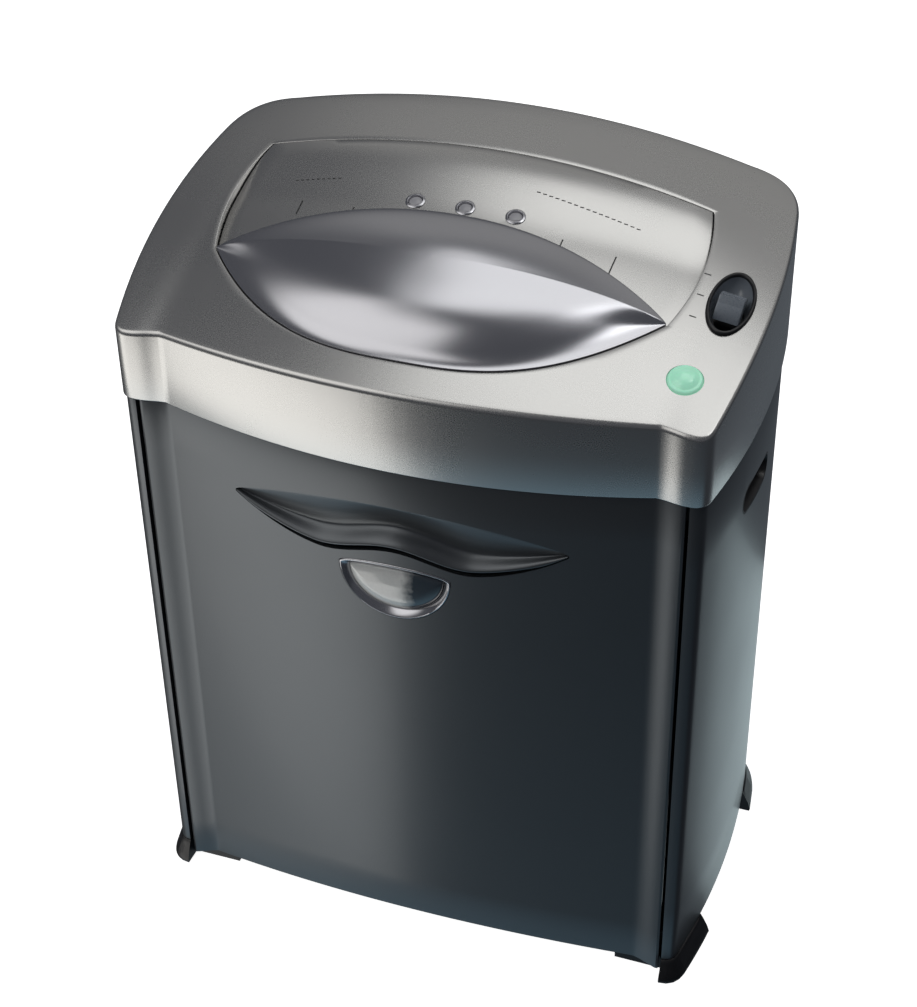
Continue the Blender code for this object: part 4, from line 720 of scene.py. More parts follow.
carve(head,
      loft("dish_cut", [oval_ring(SWITCH_HALF_X - 0.0004, SWITCH_HALF_Y - 0.0004, z) for z in (-0.02, 0.02)],
           matrix=SWITCH_SEAT),
      lathe("button_cut", [(BUTTON_R + 0.0006, -0.02), (BUTTON_R + 0.0006, 0.02)], 64, BUTTON_SEAT),
      lathe("gland_cut", [(GLAND_R, -0.02), (GLAND_R, 0.02)], 32, along_y(GLAND_X, back_y(GLAND_X), GLAND_Z)))
place(head, "casing", "silver_paint", "top_cover")
print("head shell with openings", len(head.data.polygons), "faces")

# %% [markdown]
# ## The deck behind the slot
# It is a thin plate with a soft rounded rim, so a fine shadow line runs round it. The slot and the three
# lamp holes are cut after.

# %% Feed deck
DECK_THICK, DECK_GAP = 0.003, 0.0002
LAMP_Y, LAMP_PITCH, LAMP_R = MID_Y + 0.0135, 0.0337, 0.0062


def deck_ring(inset, drop, share=1.0):
    loop = moved_out(OPENING, -inset - DECK_GAP)
    points = [scaled_from(FEED_CENTRE, x, y, share) for x, y in loop]
    return [(x, y, deck_z(x, y) - drop) for x, y in points]


rings = [deck_ring(0.0, DECK_THICK), deck_ring(0.0, 0.0008), deck_ring(0.0003, 0.00025)]
rings += [deck_ring(0.0009, 0.0, share)
          for share in (1.0, 0.93, 0.86, 0.78, 0.7, 0.6, 0.5, 0.4, 0.3, 0.2, 0.1, 0.004)]
rings += [deck_ring(0.0009, DECK_THICK, share) for share in (0.004, 0.5, 0.97)]
deck = loft("feed_deck", rings, closed=True)
xs = [FEED_X - THROAT / 2 + THROAT * i / 48 for i in range(49)]
behind_hood = [0.0118 - 0.0075 * (2 * (x - FEED_X) / THROAT) ** 2 for x in xs]
slot = [(x, lens_back(x) + d - THROAT_GAP) for x, d in zip(xs, behind_hood)]
slot += [(x, lens_back(x) + d) for x, d in reversed(list(zip(xs, behind_hood)))]
cutters = [loft("slot_cut", [[(x, y, z) for x, y in slot] for z in (0.44, 0.60)])]
LAMP_SEATS = [seat_on(deck_z, FEED_X + (i - 1) * LAMP_PITCH, LAMP_Y) for i in range(3)]
cutters += [lathe("lamp_cut", [(LAMP_R, -0.012), (LAMP_R, 0.012)], 40, seat) for seat in LAMP_SEATS]
carve(deck, *cutters)
place(deck, "casing", "silver_paint", "feed_panel")
print("deck", len(deck.data.polygons), "faces")

# %% [markdown]
# ## The hood
# The hood is a soft visor over the slot: a crest along its upper arc, a long slope forward, and a hollow
# fillet where it runs out into the cover. The height of each ring follows one profile from the centre to
# the outline, so crest, slope and fillet come from a single curve.

# %% Feed hood
HOOD_CENTRE = (FEED_X, -0.045)
FILLET, FILLET_RISE = 0.13, 0.22
DOME_POWER, SLOPE_POWER = 0.75, 3.8
CREST, HOOD_LIFT, HOOD_WALL = 0.0055, 0.0004, 0.0024


def lens_outline(inset, steps=96):
    half = HOOD_HALF - 1.6 * inset
    xs = [FEED_X - half * cos(pi * i / steps) for i in range(steps + 1)]
    lower = [(x, lens_front(x) + inset * (0 < i < steps)) for i, x in enumerate(xs)]
    return lower + [(x, lens_back(x) - inset) for x in reversed(xs[1:-1])]


def crest(x, y):
    """How far the upper arc stands above the cover."""
    rear = clamp((y - lens_front(x)) / max(lens_back(x) - lens_front(x), 1e-6))
    along = 1 - clamp(abs(x - FEED_X) / HOOD_HALF) ** 2
    return CREST * rear ** 3 * sqrt(max(0.0, along)), rear


def hood_z(x, y, s):
    """Top of the hood at fraction s from its centre to its outline."""
    lip_height, rear = crest(x, y)
    dome = max(0.0, 1 - s * s) ** DOME_POWER
    run = 1 - s
    if run < FILLET:
        front = FILLET_RISE * (run / FILLET) ** 2
    else:
        front = FILLET_RISE + (1 - FILLET_RISE) * (1 - (1 - (run - FILLET) / (1 - FILLET)) ** SLOPE_POWER)
    share = 1 - ease((rear - 0.35) / 0.3)
    shape = dome * (1 - share) + front * share
    return top_z(x, y) + HOOD_LIFT + lip_height + (HOOD_RISE - lip_height) * shape


def hood_ring(share, height=hood_z):
    loop = [scaled_from(HOOD_CENTRE, x, y, share) for x, y in lens_outline(0.0003)]
    return [(x, y, height(x, y, share)) for x, y in loop]


def on_deck(x, y, s):
    return deck_z(x, y) + 0.0003


shares = [1.0, 0.996, 0.99, 0.98, 0.97, 0.955, 0.94, 0.925, 0.91, 0.895, 0.88, 0.865, 0.85, 0.83, 0.81, 0.785,
          0.76, 0.73, 0.7, 0.66, 0.62, 0.57, 0.52, 0.46, 0.4, 0.33, 0.26, 0.18, 0.1, 0.04, 0.003]
rings = [hood_ring(1.0, on_deck)] + [hood_ring(s) for s in shares]
rings += [[(x, y, max(z - HOOD_WALL, deck_z(x, y) + 0.0032)) for x, y, z in hood_ring(s)]
          for s in (0.003, 0.4, 0.7, 0.84)]
rings += [hood_ring(0.955, lambda x, y, s: deck_z(x, y) + 0.003), hood_ring(0.965, on_deck)]
hood = loft("hood_visor", rings, closed=True, angle=48)
place(hood, "casing", "hood_silver", "feed_hood")
print("hood", len(hood.data.polygons), "faces")

# %% [markdown]
# ## Lamps, rocker dish and button
# The small controls are all turned or lofted about their own seat on the crowned skin. Soft edges matter
# most here, because a rounded rim is what catches the light on a part this small.

# %% Status lamps
RIM_IN, RIM_OUT = LAMP_R - 0.0016, LAMP_R - 0.0002
ring_profile = rounded([(RIM_OUT, -0.009), (RIM_OUT, 0.0002), (LAMP_R + 0.0005, 0.00045),
                        (LAMP_R - 0.0012, 0.0011), (RIM_IN, -0.0002), (RIM_IN, -0.009)], 0.0004)
cap_profile = rounded([(LAMP_R - 0.0017, -0.006), (LAMP_R - 0.0017, -0.0003), (LAMP_R - 0.003, 0.0004),
                       (0.0004, 0.0007)], 0.0006)
for i, (side, seat) in enumerate(zip(("left", "centre", "right"), LAMP_SEATS)):
    ring = lathe(f"lamp_ring_{i}", ring_profile, 64, seat, closed=True)
    place(ring, "casing", "hood_silver", "status_lamp_" + side)
    place(lathe(f"lamp_cap_{i}", cap_profile, 64, seat), "casing", "lamp_lens")
print("three lamps, each a ring and a cap")

# %% Rocker dish
def dish_piece(name, slot, levels, *nodes):
    rings = [oval_ring(*level, 96) for level in levels]
    piece = loft(name, rings, closed=True, matrix=SWITCH_SEAT, angle=60)
    place(piece, "casing", slot, *nodes)


# Each level is a half width, a half length and a height.
dish_piece("rocker_bowl", "slate_plastic", [
    (0.0128, 0.0255, -0.0125), (0.0094, 0.0147, -0.0125), (0.0094, 0.0147, -0.0110),
    (0.0104, 0.0196, -0.0086), (0.0113, 0.0222, -0.0054), (0.0118, 0.0236, -0.0024),
    (0.0120, 0.0240, -0.0002), (0.0128, 0.0255, -0.0004)])
dish_piece("rocker_rim", "black_plastic", [
    (0.0145, 0.0275, -0.0060), (0.0129, 0.0256, -0.0060), (0.0120, 0.0240, -0.0004), (0.0121, 0.0242, 0.0008),
    (0.0126, 0.0250, 0.0016), (0.0133, 0.0259, 0.0018), (0.0140, 0.0268, 0.0014), (0.0145, 0.0275, 0.0003)],
    "switch_bezel")
print("dish of a bowl and a rim")

# %% [markdown]
# The rocker is two shallow wings about a low ridge. Its top follows an arc about the pivot, so it keeps
# the same gap to the dish while it tips.

# %% Rocker
ROCKER_R, ROCKER_HALF, ROCKER_DROP, HUB_R = 0.0125, 0.0082, 0.009, 0.004


def arc_point(reach, degree):
    return reach * cos(radians(degree)), reach * sin(radians(degree))


profile = []
for degree in (20 + 140 * k / 56 for k in range(57)):
    profile.append(arc_point(ROCKER_R + 0.0020 * max(0.0, 1 - abs(degree - 90) / 20) ** 1.3, degree))
profile += [arc_point(HUB_R, 200 + 140 * k / 12) for k in range(13)]
seat = SWITCH_SEAT @ Matrix.Translation((0, 0, -ROCKER_DROP))
rings = []
for share, shrink in ((-1, 0.92), (-0.985, 0.965), (-0.95, 0.99), (-0.88, 1.0), (0.88, 1.0), (0.95, 0.99),
                      (0.985, 0.965), (1, 0.92)):
    rings.append([(ROCKER_HALF * share, y * shrink, z * (1 - (1 - shrink) * 0.6)) for y, z in profile])
rocker = loft("rocker_cap", rings, matrix=seat, angle=40)
place(rocker, "mode_rocker", "slate_plastic", "mode_rocker")
print("rocker", len(rocker.data.polygons), "faces")

# %% Power button
stem = [(0.0035, -0.012), (0.0035, -0.005), (BUTTON_R + 0.0016, -0.005), (BUTTON_R + 0.0016, -0.0034),
        (BUTTON_R, -0.0034), (BUTTON_R, 0.0008), (0.93 * BUTTON_R, 0.0016), (0.80 * BUTTON_R, 0.0018),
        (0.74 * BUTTON_R, 0.0022), (0.50 * BUTTON_R, 0.0037), (0.22 * BUTTON_R, 0.0043), (0.0006, 0.0044)]
button = lathe("button_cap", stem[:3] + rounded(stem[3:], 0.0012, 5), 96, BUTTON_SEAT)
place(button, "power_button", "green_button", "power_button")
print("button", len(button.data.polygons), "faces")

# %% [markdown]
# ## Printed ticks
# Small pale marks stand beside the slot and the rocker. Each is a thin bar laid along the
# surface, sunk all but a tenth of a millimetre. They are plain dashes, so nothing can be read.

# %% Ticks
def tick(height, x, y, half_x, half_y):
    corners = [(half_x, half_y), (-half_x, half_y), (-half_x, -half_y), (half_x, -half_y)]
    rings = [[(a * s, b * s, z) for a, b in corners]
             for s, z in ((1, -0.0006), (1, 0.00008), (0.93, 0.00012))]
    return loft("dash", rings, matrix=seat_on(height, x, y))


def deck_tick(x, y, half_x, half_y):
    return tick(deck_z, FEED_X + x, THROAT_Y + y, half_x, half_y)


dashes = [deck_tick(x, y, 0.00045, half) for x, y, half in (
    (-0.109, -0.0010, 0.0065), (0.1035, -0.0075, 0.0078), (-0.072, 0.0005, 0.0018), (0.068, 0.0000, 0.0032))]
for i in range(17):
    dashes.append(deck_tick(0.042 + 0.0043 * i, 0.0355 - 0.0006 * i, 0.0013, 0.00035))
    if i < 9:
        dashes.append(deck_tick(-0.120 + 0.0036 * i, 0.0230 + 0.0004 * i, 0.0011, 0.0003))
place(join("deck_ticks", *dashes), "casing", "black_plastic")
dashes = [tick(top_z, SWITCH_X - 0.0195, SWITCH_Y + k * 0.018, 0.0022, 0.0004) for k in (-1, 0, 1)]
place(join("switch_ticks", *dashes), "casing", "black_plastic")
print("ticks by the slot and the rocker")

# %% [markdown]
# ## The bin's front
# The door is a tall bowed sheet. Each ring of this loft is one upright section, with its edges rounded,
# and the rings step along the bow. Grip and window are cut through it after.

# %% Bin front
GRIP_HALF, GRIP_TIP_Z, WAVE_HALF = 0.112, 0.376, 0.050
WINDOW_HALF, WINDOW_TOP, WINDOW_LOW, WINDOW_CORNER = 0.038, 0.350, 0.3065, 0.006
ARCH_MID_Z, ARCH_END_Z = 0.031, 0.011
BIN_FRONT_Y = FRONT_Y + 0.0085
GAP = 0.0003


def ridge_z(x):
    """The wave of the grip: a low either side of a small rise, running up to the tips."""
    a = abs(x)
    if a <= WAVE_HALF:
        return GRIP_TIP_Z - 0.0116 + 0.0044 * cos(pi * a / WAVE_HALF)
    return GRIP_TIP_Z - 0.0160 + 0.0160 * min(1.0, (a - WAVE_HALF) / (GRIP_HALF - WAVE_HALF)) ** 1.5


def grip_arch_z(x):
    return GRIP_TIP_Z + 0.0195 * (1 - min(1.0, abs(x) / GRIP_HALF) ** 2) ** 0.8


def lip_height(x):
    return 0.008 * (1 - min(1.0, abs(x) / (GRIP_HALF + 0.004)) ** 4) + 0.0004


def foot_arch_z(x):
    return ARCH_MID_Z - (ARCH_MID_Z - ARCH_END_Z) * min(1.27, (x / BOW_HALF) ** 2)


def grip_outline(grow=0.0, steps=96):
    half = GRIP_HALF + grow
    xs = [-half * cos(pi * i / steps) for i in range(steps + 1)]
    return ([(x, ridge_z(x) - lip_height(x) - GAP - grow) for x in xs]
            + [(x, grip_arch_z(x) + grow) for x in reversed(xs)])


def window_outline(inset=0.0, steps=48):
    half, top, low = WINDOW_HALF - inset, WINDOW_TOP - inset, WINDOW_LOW + inset
    shoulder = WINDOW_TOP - WINDOW_CORNER - inset * 0.6
    upper = [pi * i / 24 for i in range(25)]
    lower = [pi * i / steps for i in range(1, steps)]
    return ([(half * cos(t), shoulder + (top - shoulder) * sin(t)) for t in upper]
            + [(-half * cos(t), shoulder - (shoulder - low) * sin(t)) for t in lower])


def upright_skin(low, high, steps, edge):
    """Points of depth and height up a sheet, between equal edges at its bottom and its top."""
    skin = [(depth, low + rise) for depth, rise in edge]
    skin += [(0.0, low + (high - low) * i / steps) for i in range(1, steps)]
    return skin + [(depth, high - rise) for depth, rise in reversed(edge)]


DOOR_EDGE = [(BODY_WALL, 0.0004), (0.0009, 0), (0.00027, 0.00027), (0.0, 0.0009)]
rings = []
for k in range(241):
    x = -PANEL_HALF + 2 * PANEL_HALF * k / 240
    end = min(k, 240 - k) * 2 * PANEL_HALF / 240
    tuck = 0.0009 * (1 - min(1.0, end / 0.0016)) ** 2
    skin = upright_skin(foot_arch_z(x), SEAM_Z - 0.0008, 12, DOOR_EDGE)
    face = front_y(x, BODY_INSET)
    rings.append([(x, face + depth + tuck * (1 - depth / BODY_WALL), z) for depth, z in skin])
door = loft("door_panel", rings)
ahead, behind = FRONT_Y - FRONT_BOW - 0.02, BIN_FRONT_Y
carve(door,
      loft("grip_cut", [[(x, y, z) for x, z in grip_outline()] for y in (ahead, behind)]),
      loft("window_cut", [[(x, y, z) for x, z in window_outline()] for y in (ahead, behind)]))
place(door, "bin", "charcoal_shell", "bin_front")
print("door", len(door.data.polygons), "faces")

# %% [markdown]
# ## The grip
# Fingers go in under the upper edge and pull on a rolled lip. In section, from top to bottom: the edge
# dips in to a shallow scoop, a crease marks the bottom of the scoop, then the lip swells out to a nose
# and turns under. One loft carries that section from tip to tip, with the swell fading at both ends.

# %% Grip lip
def grip_section(x):
    a = min(1.0, abs(x) / GRIP_HALF)
    swell = (1 - a ** 3) ** 0.7
    top, ridge = grip_arch_z(x) - GAP, ridge_z(x)
    low = ridge - min(0.0040, lip_height(x) - 2 * GAP)
    face = front_y(x, BODY_INSET)
    scoop = 0.0022 + 0.0058 * (1 - a ** 2)
    nose = 0.0036 * swell
    crease = ridge + 0.30 * (top - ridge) * (1 - 0.5 * a)
    fall, lip = top - crease, ridge - low
    path = [(0.0012, top), (scoop * 0.45, top - 0.30 * fall), (scoop * 0.85, top - 0.70 * fall),
            (scoop, crease), (scoop * 0.80, crease - 0.35 * (crease - ridge)),
            (0.0005 - nose * 0.45, ridge + 0.0012 * swell), (-nose * 0.92, ridge - 0.22 * lip),
            (-nose, ridge - 0.45 * lip), (-nose * 0.80, ridge - 0.72 * lip),
            (0.0008 - nose * 0.25, ridge - 0.93 * lip), (0.0022, low + 0.0002), (scoop + 0.0016, low),
            (scoop + 0.0020, crease), (scoop * 0.5 + 0.0020, top - 0.3 * fall), (0.0028, top)]
    return [(x, face + depth, z) for depth, z in path]


def smooth_loop(ring, rounds=2):
    """Chaikin's corner cutting, so that the section turns softly."""
    points = [Vector(p) for p in ring]
    for _ in range(rounds):
        points = [q for a, b in zip(points, points[1:] + points[:1])
                  for q in (a * 0.75 + b * 0.25, a * 0.25 + b * 0.75)]
    return points


stations = [-(GRIP_HALF - 0.0008) * cos(pi * i / 150) for i in range(151)]
grip = loft("grip_roll", [smooth_loop(grip_section(x)) for x in stations], angle=60)
place(grip, "bin", "charcoal_shell", "grip_lip")
print("grip", len(grip.data.polygons), "faces")

# %% [markdown]
# ## The window
# A half-moon lens sits inside a bevelled rim. The rim's lower side faces up and catches the light, and
# the lens lies a little deeper. Its finish is painted pale on the left, a painted reflection on the smoke.

# %% Window lens and rim
def window_ring(inset, depth):
    return [(x, front_y(x, BODY_INSET + depth), z) for x, z in window_outline(inset)]


rim = [window_ring(*level) for level in (
    (0.0003, 0.0052), (0.0003, 0.0002), (0.0006, -0.0003), (0.0013, -0.0005), (0.0020, -0.0001),
    (0.0040, 0.0018), (0.0062, 0.0046), (0.0064, 0.0052))]
place(loft("window_rim", rim, closed=True, angle=50), "bin", "hood_silver")
pane = [window_ring(0.0062, 0.0050)]
for inset in (0.0062, 0.0066, 0.0074, 0.0086, 0.0102, 0.0122, 0.0146, 0.0172):
    bulge = 0.0042 * sqrt(1 - ((0.0190 - inset) / 0.0130) ** 2)
    pane.append(window_ring(inset, 0.0044 - bulge))
place(loft("window_pane", pane, angle=50), "bin", "smoked_window", "window_lens")
print("window of a rim and a pane")

# %% [markdown]
# ## The cabinet's sides
# Each side wraps from a thin front post, round the corner, along the bowed flank and round the back. It
# is lofted as rings along that path. The long grip near the top is cut through it, with a cup behind.

# %% Cabinet sides
BACK_EDGE, FLANGE_EDGE = HALF_WIDTH - 0.0365, HALF_WIDTH - 0.0605
GRIP_Y, GRIP_Z, GRIP_TILT = MID_Y - 0.0085, 0.370, radians(-10.3)
GRIP_LONG, GRIP_ROUND = 0.034, 0.010


def side_outline():
    """Outer path from the front post to the back edge, then the flange and the inner path back."""
    outer = right_side(BODY_INSET, POST_X, 12, 56)[12:]
    x_end = outer[-1][0]
    outer += [(x, back_y(x, BODY_INSET)) for x in (x_end - (x_end - BACK_EDGE) * i / 3 for i in range(1, 4))]
    deep = BODY_INSET + BODY_WALL
    inner = [(x, y) for x, y in right_side(deep, POST_X + BODY_WALL, 6, 30)
             if (x > POST_X + BODY_WALL - 1e-6 or y > 0) and (x > BACK_EDGE + 0.001 or y < 0)]
    flange = [(x, back_y(x, deep + GAP + more)) for x, more in (
        (BACK_EDGE, 0), (FLANGE_EDGE, 0), (FLANGE_EDGE, BODY_WALL), (BACK_EDGE - 0.002, BODY_WALL))]
    jamb = front_y(POST_X) + 0.012
    x_in = POST_X + BODY_WALL
    post = [(x_in, front_y(x_in, deep)), (x_in, jamb), (POST_X, jamb)]
    return outer, flange + inner[::-1] + post


def side_shell(flip):
    outer, rest = side_outline()
    low, high, r = 0.0183, SEAM_Z - 0.0008, 0.0009

    def ring(edge, z):
        moved = []
        for i, (x, y) in enumerate(outer):
            (x0, y0), (x1, y1) = outer[max(i - 1, 0)], outer[min(i + 1, len(outer) - 1)]
            length = hypot(x1 - x0, y1 - y0)
            moved.append((x - edge * (y1 - y0) / length, y + edge * (x1 - x0) / length))
        return [(flip * x, y, z) for x, y in moved + rest]

    rings = [ring(edge, z) for edge, z in upright_skin(low, high, 8, [(r, 0), (0.3 * r, 0.3 * r), (0, r)])]
    return loft("side_shell_" + ("right" if flip > 0 else "left"), rings, angle=40)


def stadium(grow, steps=24):
    half, r = GRIP_LONG - GRIP_ROUND, GRIP_ROUND + grow
    turn = [(r * sin(pi * i / steps), r * cos(pi * i / steps)) for i in range(steps + 1)]
    return [(-half - u, v) for u, v in turn] + [(half + u, -v) for u, v in turn]


def side_grip_points(flip, grow, depth):
    made = []
    for u, v in stadium(grow):
        y = GRIP_Y + u * cos(GRIP_TILT) - v * sin(GRIP_TILT)
        z = GRIP_Z + u * sin(GRIP_TILT) + v * cos(GRIP_TILT)
        made.append((flip * side_x(y, BODY_INSET + depth), y, z))
    return made


# The cup's wall as growth and depth, from behind its floor round the flange and back to the floor.
CUP_LEVELS = [(-0.0092, 0.0172), (-0.0020, 0.0168), (-0.0004, 0.0120), (0.0004, 0.0034), (0.0004, 0.0006),
              (0.0001, -0.0001), (-0.0007, -0.0001), (-0.0012, 0.0007), (-0.0016, 0.006), (-0.0022, 0.013),
              (-0.0040, 0.0155), (-0.0065, 0.0158), (-0.0092, 0.0160)]
for flip, side in ((1, "right"), (-1, "left")):
    shell = side_shell(flip)
    carve(shell, loft("grip_cut", [side_grip_points(flip, 0.0006, d) for d in (-0.01, 0.012)]))
    place(shell, "casing", "charcoal_shell", "cabinet_" + side)
    cup = loft("side_cup_" + side, [side_grip_points(flip, *level) for level in CUP_LEVELS], angle=45)
    place(cup, "casing", "black_plastic", "grip_cup_" + side)
    print(shell.name, len(shell.data.polygons), "faces")

# %% [markdown]
# ## Feet, back and cord gland
# A foot flares out under each corner, like a shoe. Its levels are the same path at changing insets, so
# the flare is a smooth curve.

# %% Feet
FOOT_DEEP = 0.046
LEVELS = [(-0.0026, 0.0), (-0.0040, 0.0003), (-0.0048, 0.0010), (-0.0050, 0.0022), (-0.0047, 0.0040),
          (-0.0038, 0.0062), (-0.0026, 0.0086), (-0.0014, 0.0110), (-0.0004, 0.0136), (0.0004, 0.0156),
          (0.0011, 0.0170), (0.0020, 0.0178), (0.0040, FOOT_TOP)]


def foot_path(inset, end):
    """One level of a right foot: the curve round its corner, closed by straight inner edges."""
    whole = right_side(inset, POST_X + 0.001, 12, 56)
    x_in = HALF_WIDTH - FOOT_DEEP
    if end == "rear":
        path = whole[-24:]
        return path + [(x_in, min(path[-1][1], back_y(x_in, inset))), (x_in, path[0][1])]
    path, back_face = whole[12:36], FRONT_Y + 0.0065
    x_post = min(POST_X + 0.0002, path[0][0] - 0.0005)
    return [(x_in, back_face), (x_post, back_face)] + path + [(x_in, path[-1][1])]


def instep(x, z):
    """The sole rises towards the middle of the machine."""
    return z + (FOOT_TOP - z) * ease((POST_X - 0.004 - x) / 0.030) * 0.92


for end in ("front", "rear"):
    for flip, side in ((1, "right"), (-1, "left")):
        rings = [[(flip * x, y, instep(x, z)) for x, y in foot_path(inset, end)] for inset, z in LEVELS]
        foot = loft(f"foot_pad_{end}_{side}", rings, angle=40)
        place(foot, "casing", "black_plastic")
print("four feet")

# %% Cabinet back
low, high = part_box("cabinet_back")
BACK_SHEET_EDGE = [(BODY_WALL, 0), (0.0008, 0), (0.0002, 0.0003), (0, 0.0008)]
rings = []
for x in ((-1 + 2 * i / 96) * (BACK_EDGE - GAP) for i in range(97)):
    skin = upright_skin(low.z, high.z, 8, BACK_SHEET_EDGE)
    rings.append([(x, back_y(x, BODY_INSET) - depth, z) for depth, z in skin])
back = loft("back_skin", rings)
SCREW_SPOTS = [(sx * (HALF_WIDTH - 0.0485), z, name) for sx, side in ((-1, "left"), (1, "right"))
               for z, name in ((0.075, f"back_screw_{side}_low"), (0.375, f"back_screw_{side}_high"))]
HOLE_R = 0.0019
carve(back, *[lathe("screw_cut", [(HOLE_R, -0.012), (HOLE_R, 0.012)], 32,
                    along_y(x, back_y(x, BODY_INSET), z)) for x, z, _ in SCREW_SPOTS])
place(back, "casing", "charcoal_shell", "cabinet_back")
screw_profile = rounded([(0.00096, -0.011), (0.0016, -0.009), (0.0016, 0.0), (0.0036, 0.0), (0.0035, 0.0014),
                         (0.0024, 0.0021), (0.0017, 0.0022), (0.0013, 0.0009), (0.0003, 0.0008)], 0.0003)
for x, z, name in SCREW_SPOTS:
    face = max(back_y(x - 0.0036, BODY_INSET), back_y(x + 0.0036, BODY_INSET)) + GAP
    place(lathe("head_of_" + name, screw_profile, 40, along_y(x, face, z)), "casing", "zinc_plate", name)
gland_profile = rounded([(0.0045, 0.0035), (0.0045, -0.0085), (0.0074, -0.0085), (0.0074, 0.0), (0.011, 0.0),
                         (0.011, 0.0016), (0.0088, 0.0032), (0.0060, 0.0036)], 0.0006)
face = max(back_y(GLAND_X - 0.011), back_y(GLAND_X + 0.011)) + GAP
gland = lathe("gland_ring", gland_profile, 64, along_y(GLAND_X, face, GLAND_Z), closed=True)
place(gland, "casing", "black_plastic", "cord_gland")
print("back, four screws and a gland")

# %% [markdown]
# ## Camera, card and light
# The product stands on a white page. The paint is mirror-like enough to show its surroundings, so the
# look comes from soft cards round it: a bright one ahead and high, a dark gap over the hood, a grey one
# behind. The sky shader below paints those cards by direction, which costs less than area lights.

# %% Camera
camera = bpy.data.cameras.new("view")
camera.lens, camera.sensor_width = 78.55, 36.0
camera.clip_start, camera.clip_end = 0.01, 50
eye = show("view", camera)
PITCH, YAW, ROLL = 0.6549, 0.3451, 0.0173
forward = Vector((-sin(YAW) * cos(PITCH), cos(YAW) * cos(PITCH), -sin(PITCH)))
right = Vector((cos(YAW), sin(YAW), 0))
down = forward.cross(right)
across = cos(ROLL) * right + sin(ROLL) * down
drop = -sin(ROLL) * right + cos(ROLL) * down
eye.matrix_world = axes_at((0.40497, -1.13362, 1.22811), across, -drop, -forward)
bpy.context.scene.camera = eye
print("camera", round(camera.lens, 1), "mm")

# %% Sky of soft cards
CARDS = [
    # azimuth, elevation, half width, half height, softness (degrees), then light; azimuth 0 is ahead (-Y)
    (165, 36, 53, 14, 9, (0.27, 0.265, 0.25)),
    (-52, 50, 34, 19, 9, (1.25, 1.23, 1.19)),
    (0, 90, 180, 84, 5, (0.045, 0.045, 0.050)),
    (-62, -36, 24, 26, 16, (0.30, 0.30, 0.29)),
    (170, -36, 34, 30, 20, (0.07, 0.08, 0.09)),
    (0, -66, 80, 16, 14, (0.16, 0.28, 0.36)),
]
world = bpy.data.worlds.new("studio")
world.use_nodes = True
bpy.context.scene.world = world
tree = world.node_tree
surface = tree.nodes["Background"]
axes = tree.nodes.new("ShaderNodeSeparateXYZ")
feed(tree, axes, Vector=tree.nodes.new("ShaderNodeTexCoord").outputs["Generated"])
azimuth = math_node(tree, "ARCTAN2", axes.outputs[0], math_node(tree, "MULTIPLY", axes.outputs[1], -1.0))
elevation = math_node(tree, "ARCSINE", axes.outputs[2])


def vector_node(operation, a, **values):
    made = tree.nodes.new("ShaderNodeVectorMath")
    made.operation = operation
    connect(tree, a, made.inputs[0])
    feed(tree, made, **values)
    return made


def dimmed(level, value, outside, inside, start, end):
    """The level times a soft step of the value."""
    step = spread(tree, value, outside, inside, start, end)
    step.node.interpolation_type = "SMOOTHSTEP"
    return step if level is None else math_node(tree, "MULTIPLY", level, step)


def add_light(light, level):
    """Adds light of this colour to the sky, as strong as the level."""
    card = vector_node("SCALE", light, Scale=level).outputs[0]
    both = vector_node("ADD", total)
    connect(tree, card, both.inputs[1])
    return both.outputs[0]


total = (0.035, 0.039, 0.046)
for az, el, wide, tall, soft, light in CARDS:
    turn = math_node(tree, "WRAP", math_node(tree, "SUBTRACT", azimuth, radians(az)), pi)
    turn.node.inputs[2].default_value = -pi
    turn = math_node(tree, "ABSOLUTE", turn)
    rise = math_node(tree, "ABSOLUTE", math_node(tree, "SUBTRACT", elevation, radians(el)))
    level = None
    for value, half in ((turn, wide), (rise, tall)):
        level = dimmed(level, value, 1.0, 0.0, radians(half - soft), radians(half + soft))
    total = add_light(light, level)

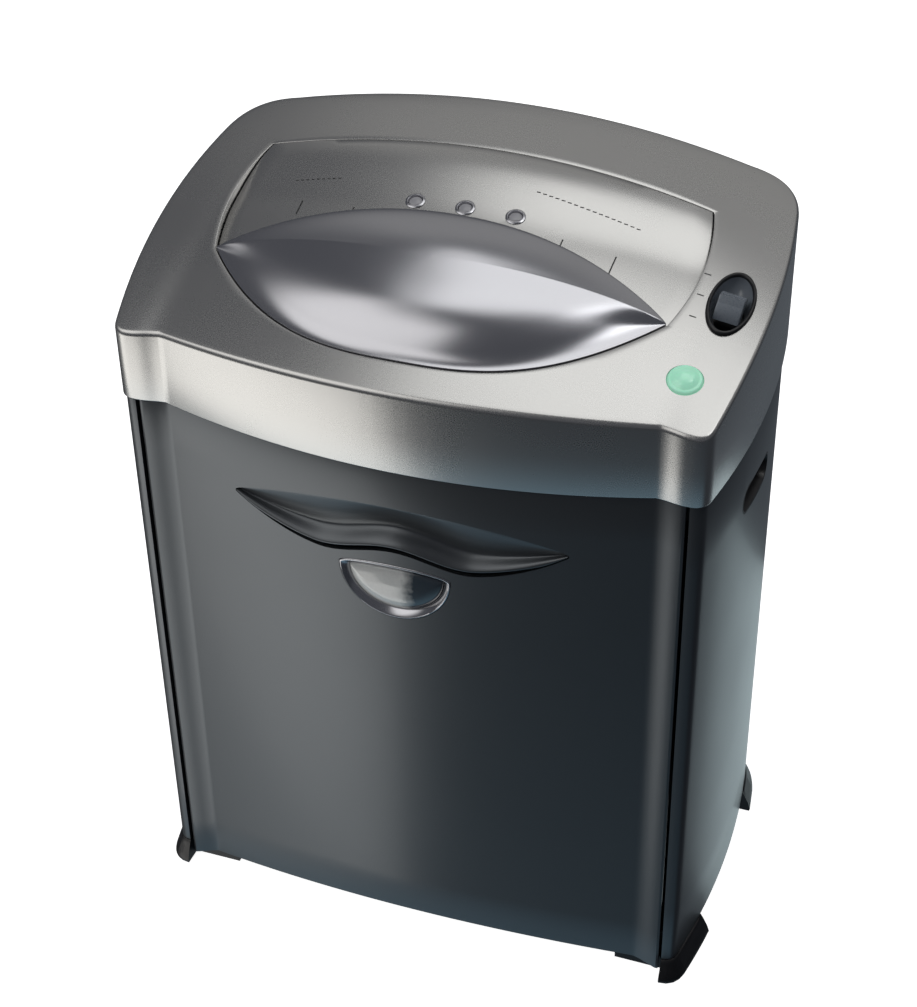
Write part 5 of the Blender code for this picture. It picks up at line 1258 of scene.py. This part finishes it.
# Two flat boxes hang overhead: left, right, front, back as offsets per unit of height.
OVERHEAD = [(-0.33, 0.60, -0.03, 0.61, 0.09, (1.40, 1.40, 1.37)),
            (0.27, 0.52, -0.06, 0.18, 0.06, (1.8, 1.8, 1.8))]
above = math_node(tree, "MAXIMUM", axes.outputs[2], 0.02)
for x_low, x_high, y_low, y_high, soft, light in OVERHEAD:
    level = None
    for axis, low, high in ((axes.outputs[0], x_low, x_high), (axes.outputs[1], y_low, y_high)):
        spot = math_node(tree, "DIVIDE", axis, above)
        level = dimmed(level, spot, 0.0, 1.0, low - soft, low + soft)
        level = dimmed(level, spot, 0.0, 1.0, high + soft, high - soft)
    total = add_light(light, level)
seen = tree.nodes.new("ShaderNodeLightPath").outputs["Is Camera Ray"]
feed(tree, surface, Color=mix_colour(tree, seen, total, (1.0, 1.0, 1.0)))
print(len(CARDS), "cards")

# %% Cards close by
# A card this close lights the left half of the front and leaves the right corner post dark. The second
# one stands low behind, so only the lower part of the right side picks it up.
def near_card(name, spot, turn, wide, tall, radiance, tint):
    lamp = bpy.data.lights.new(name, "AREA")
    lamp.shape, lamp.size, lamp.size_y, lamp.color = "RECTANGLE", wide, tall, tint
    lamp.energy = radiance * pi * wide * tall
    card = show(name, lamp)
    card.matrix_world = Matrix.Translation(spot) @ Matrix.Rotation(turn, 4, "X")
    card.visible_camera = False
    print(name, round(lamp.energy, 2), "W")


near_card("left_card", (-0.83, -0.68, -0.22), pi / 2, 1.2, 0.9, 1.35, (1.0, 0.975, 0.93))
near_card("low_card", (0.40, 0.80, -0.66), -pi / 2, 0.55, 0.65, 0.75, (0.80, 0.97, 1.0))

# %% Pale floor
HALF_FLOOR, FLOOR_Z = 4.0, -0.0004
corners = [(x * HALF_FLOOR, y * HALF_FLOOR, FLOOR_Z) for x, y in ((-1, -1), (1, -1), (1, 1), (-1, 1))]
floor = mesh_object("pale_floor", corners, [(0, 1, 2, 3)])
pale = bpy.data.materials.new("pale_floor")
pale.use_nodes = True
tree = pale.node_tree
feed(tree, tree.nodes["Principled BSDF"], Base_Color=(0.9, 0.9, 0.9), Roughness=1.0, Specular_IOR_Level=0.0,
     Emission_Color=(1, 1, 1), Emission_Strength=0.97)
floor.data.materials.append(pale)
# The cards hang partly below it, so it lets their light through.
floor.visible_shadow = floor.visible_glossy = floor.visible_diffuse = False
floor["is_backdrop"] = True
print("floor", 2 * HALF_FLOOR, "m wide")

# %% View settings
view = bpy.context.scene.view_settings
view.view_transform, view.look, view.exposure = "Standard", "None", 0.0
print("view transform", view.view_transform)

# %% Sizes and finish
low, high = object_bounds()
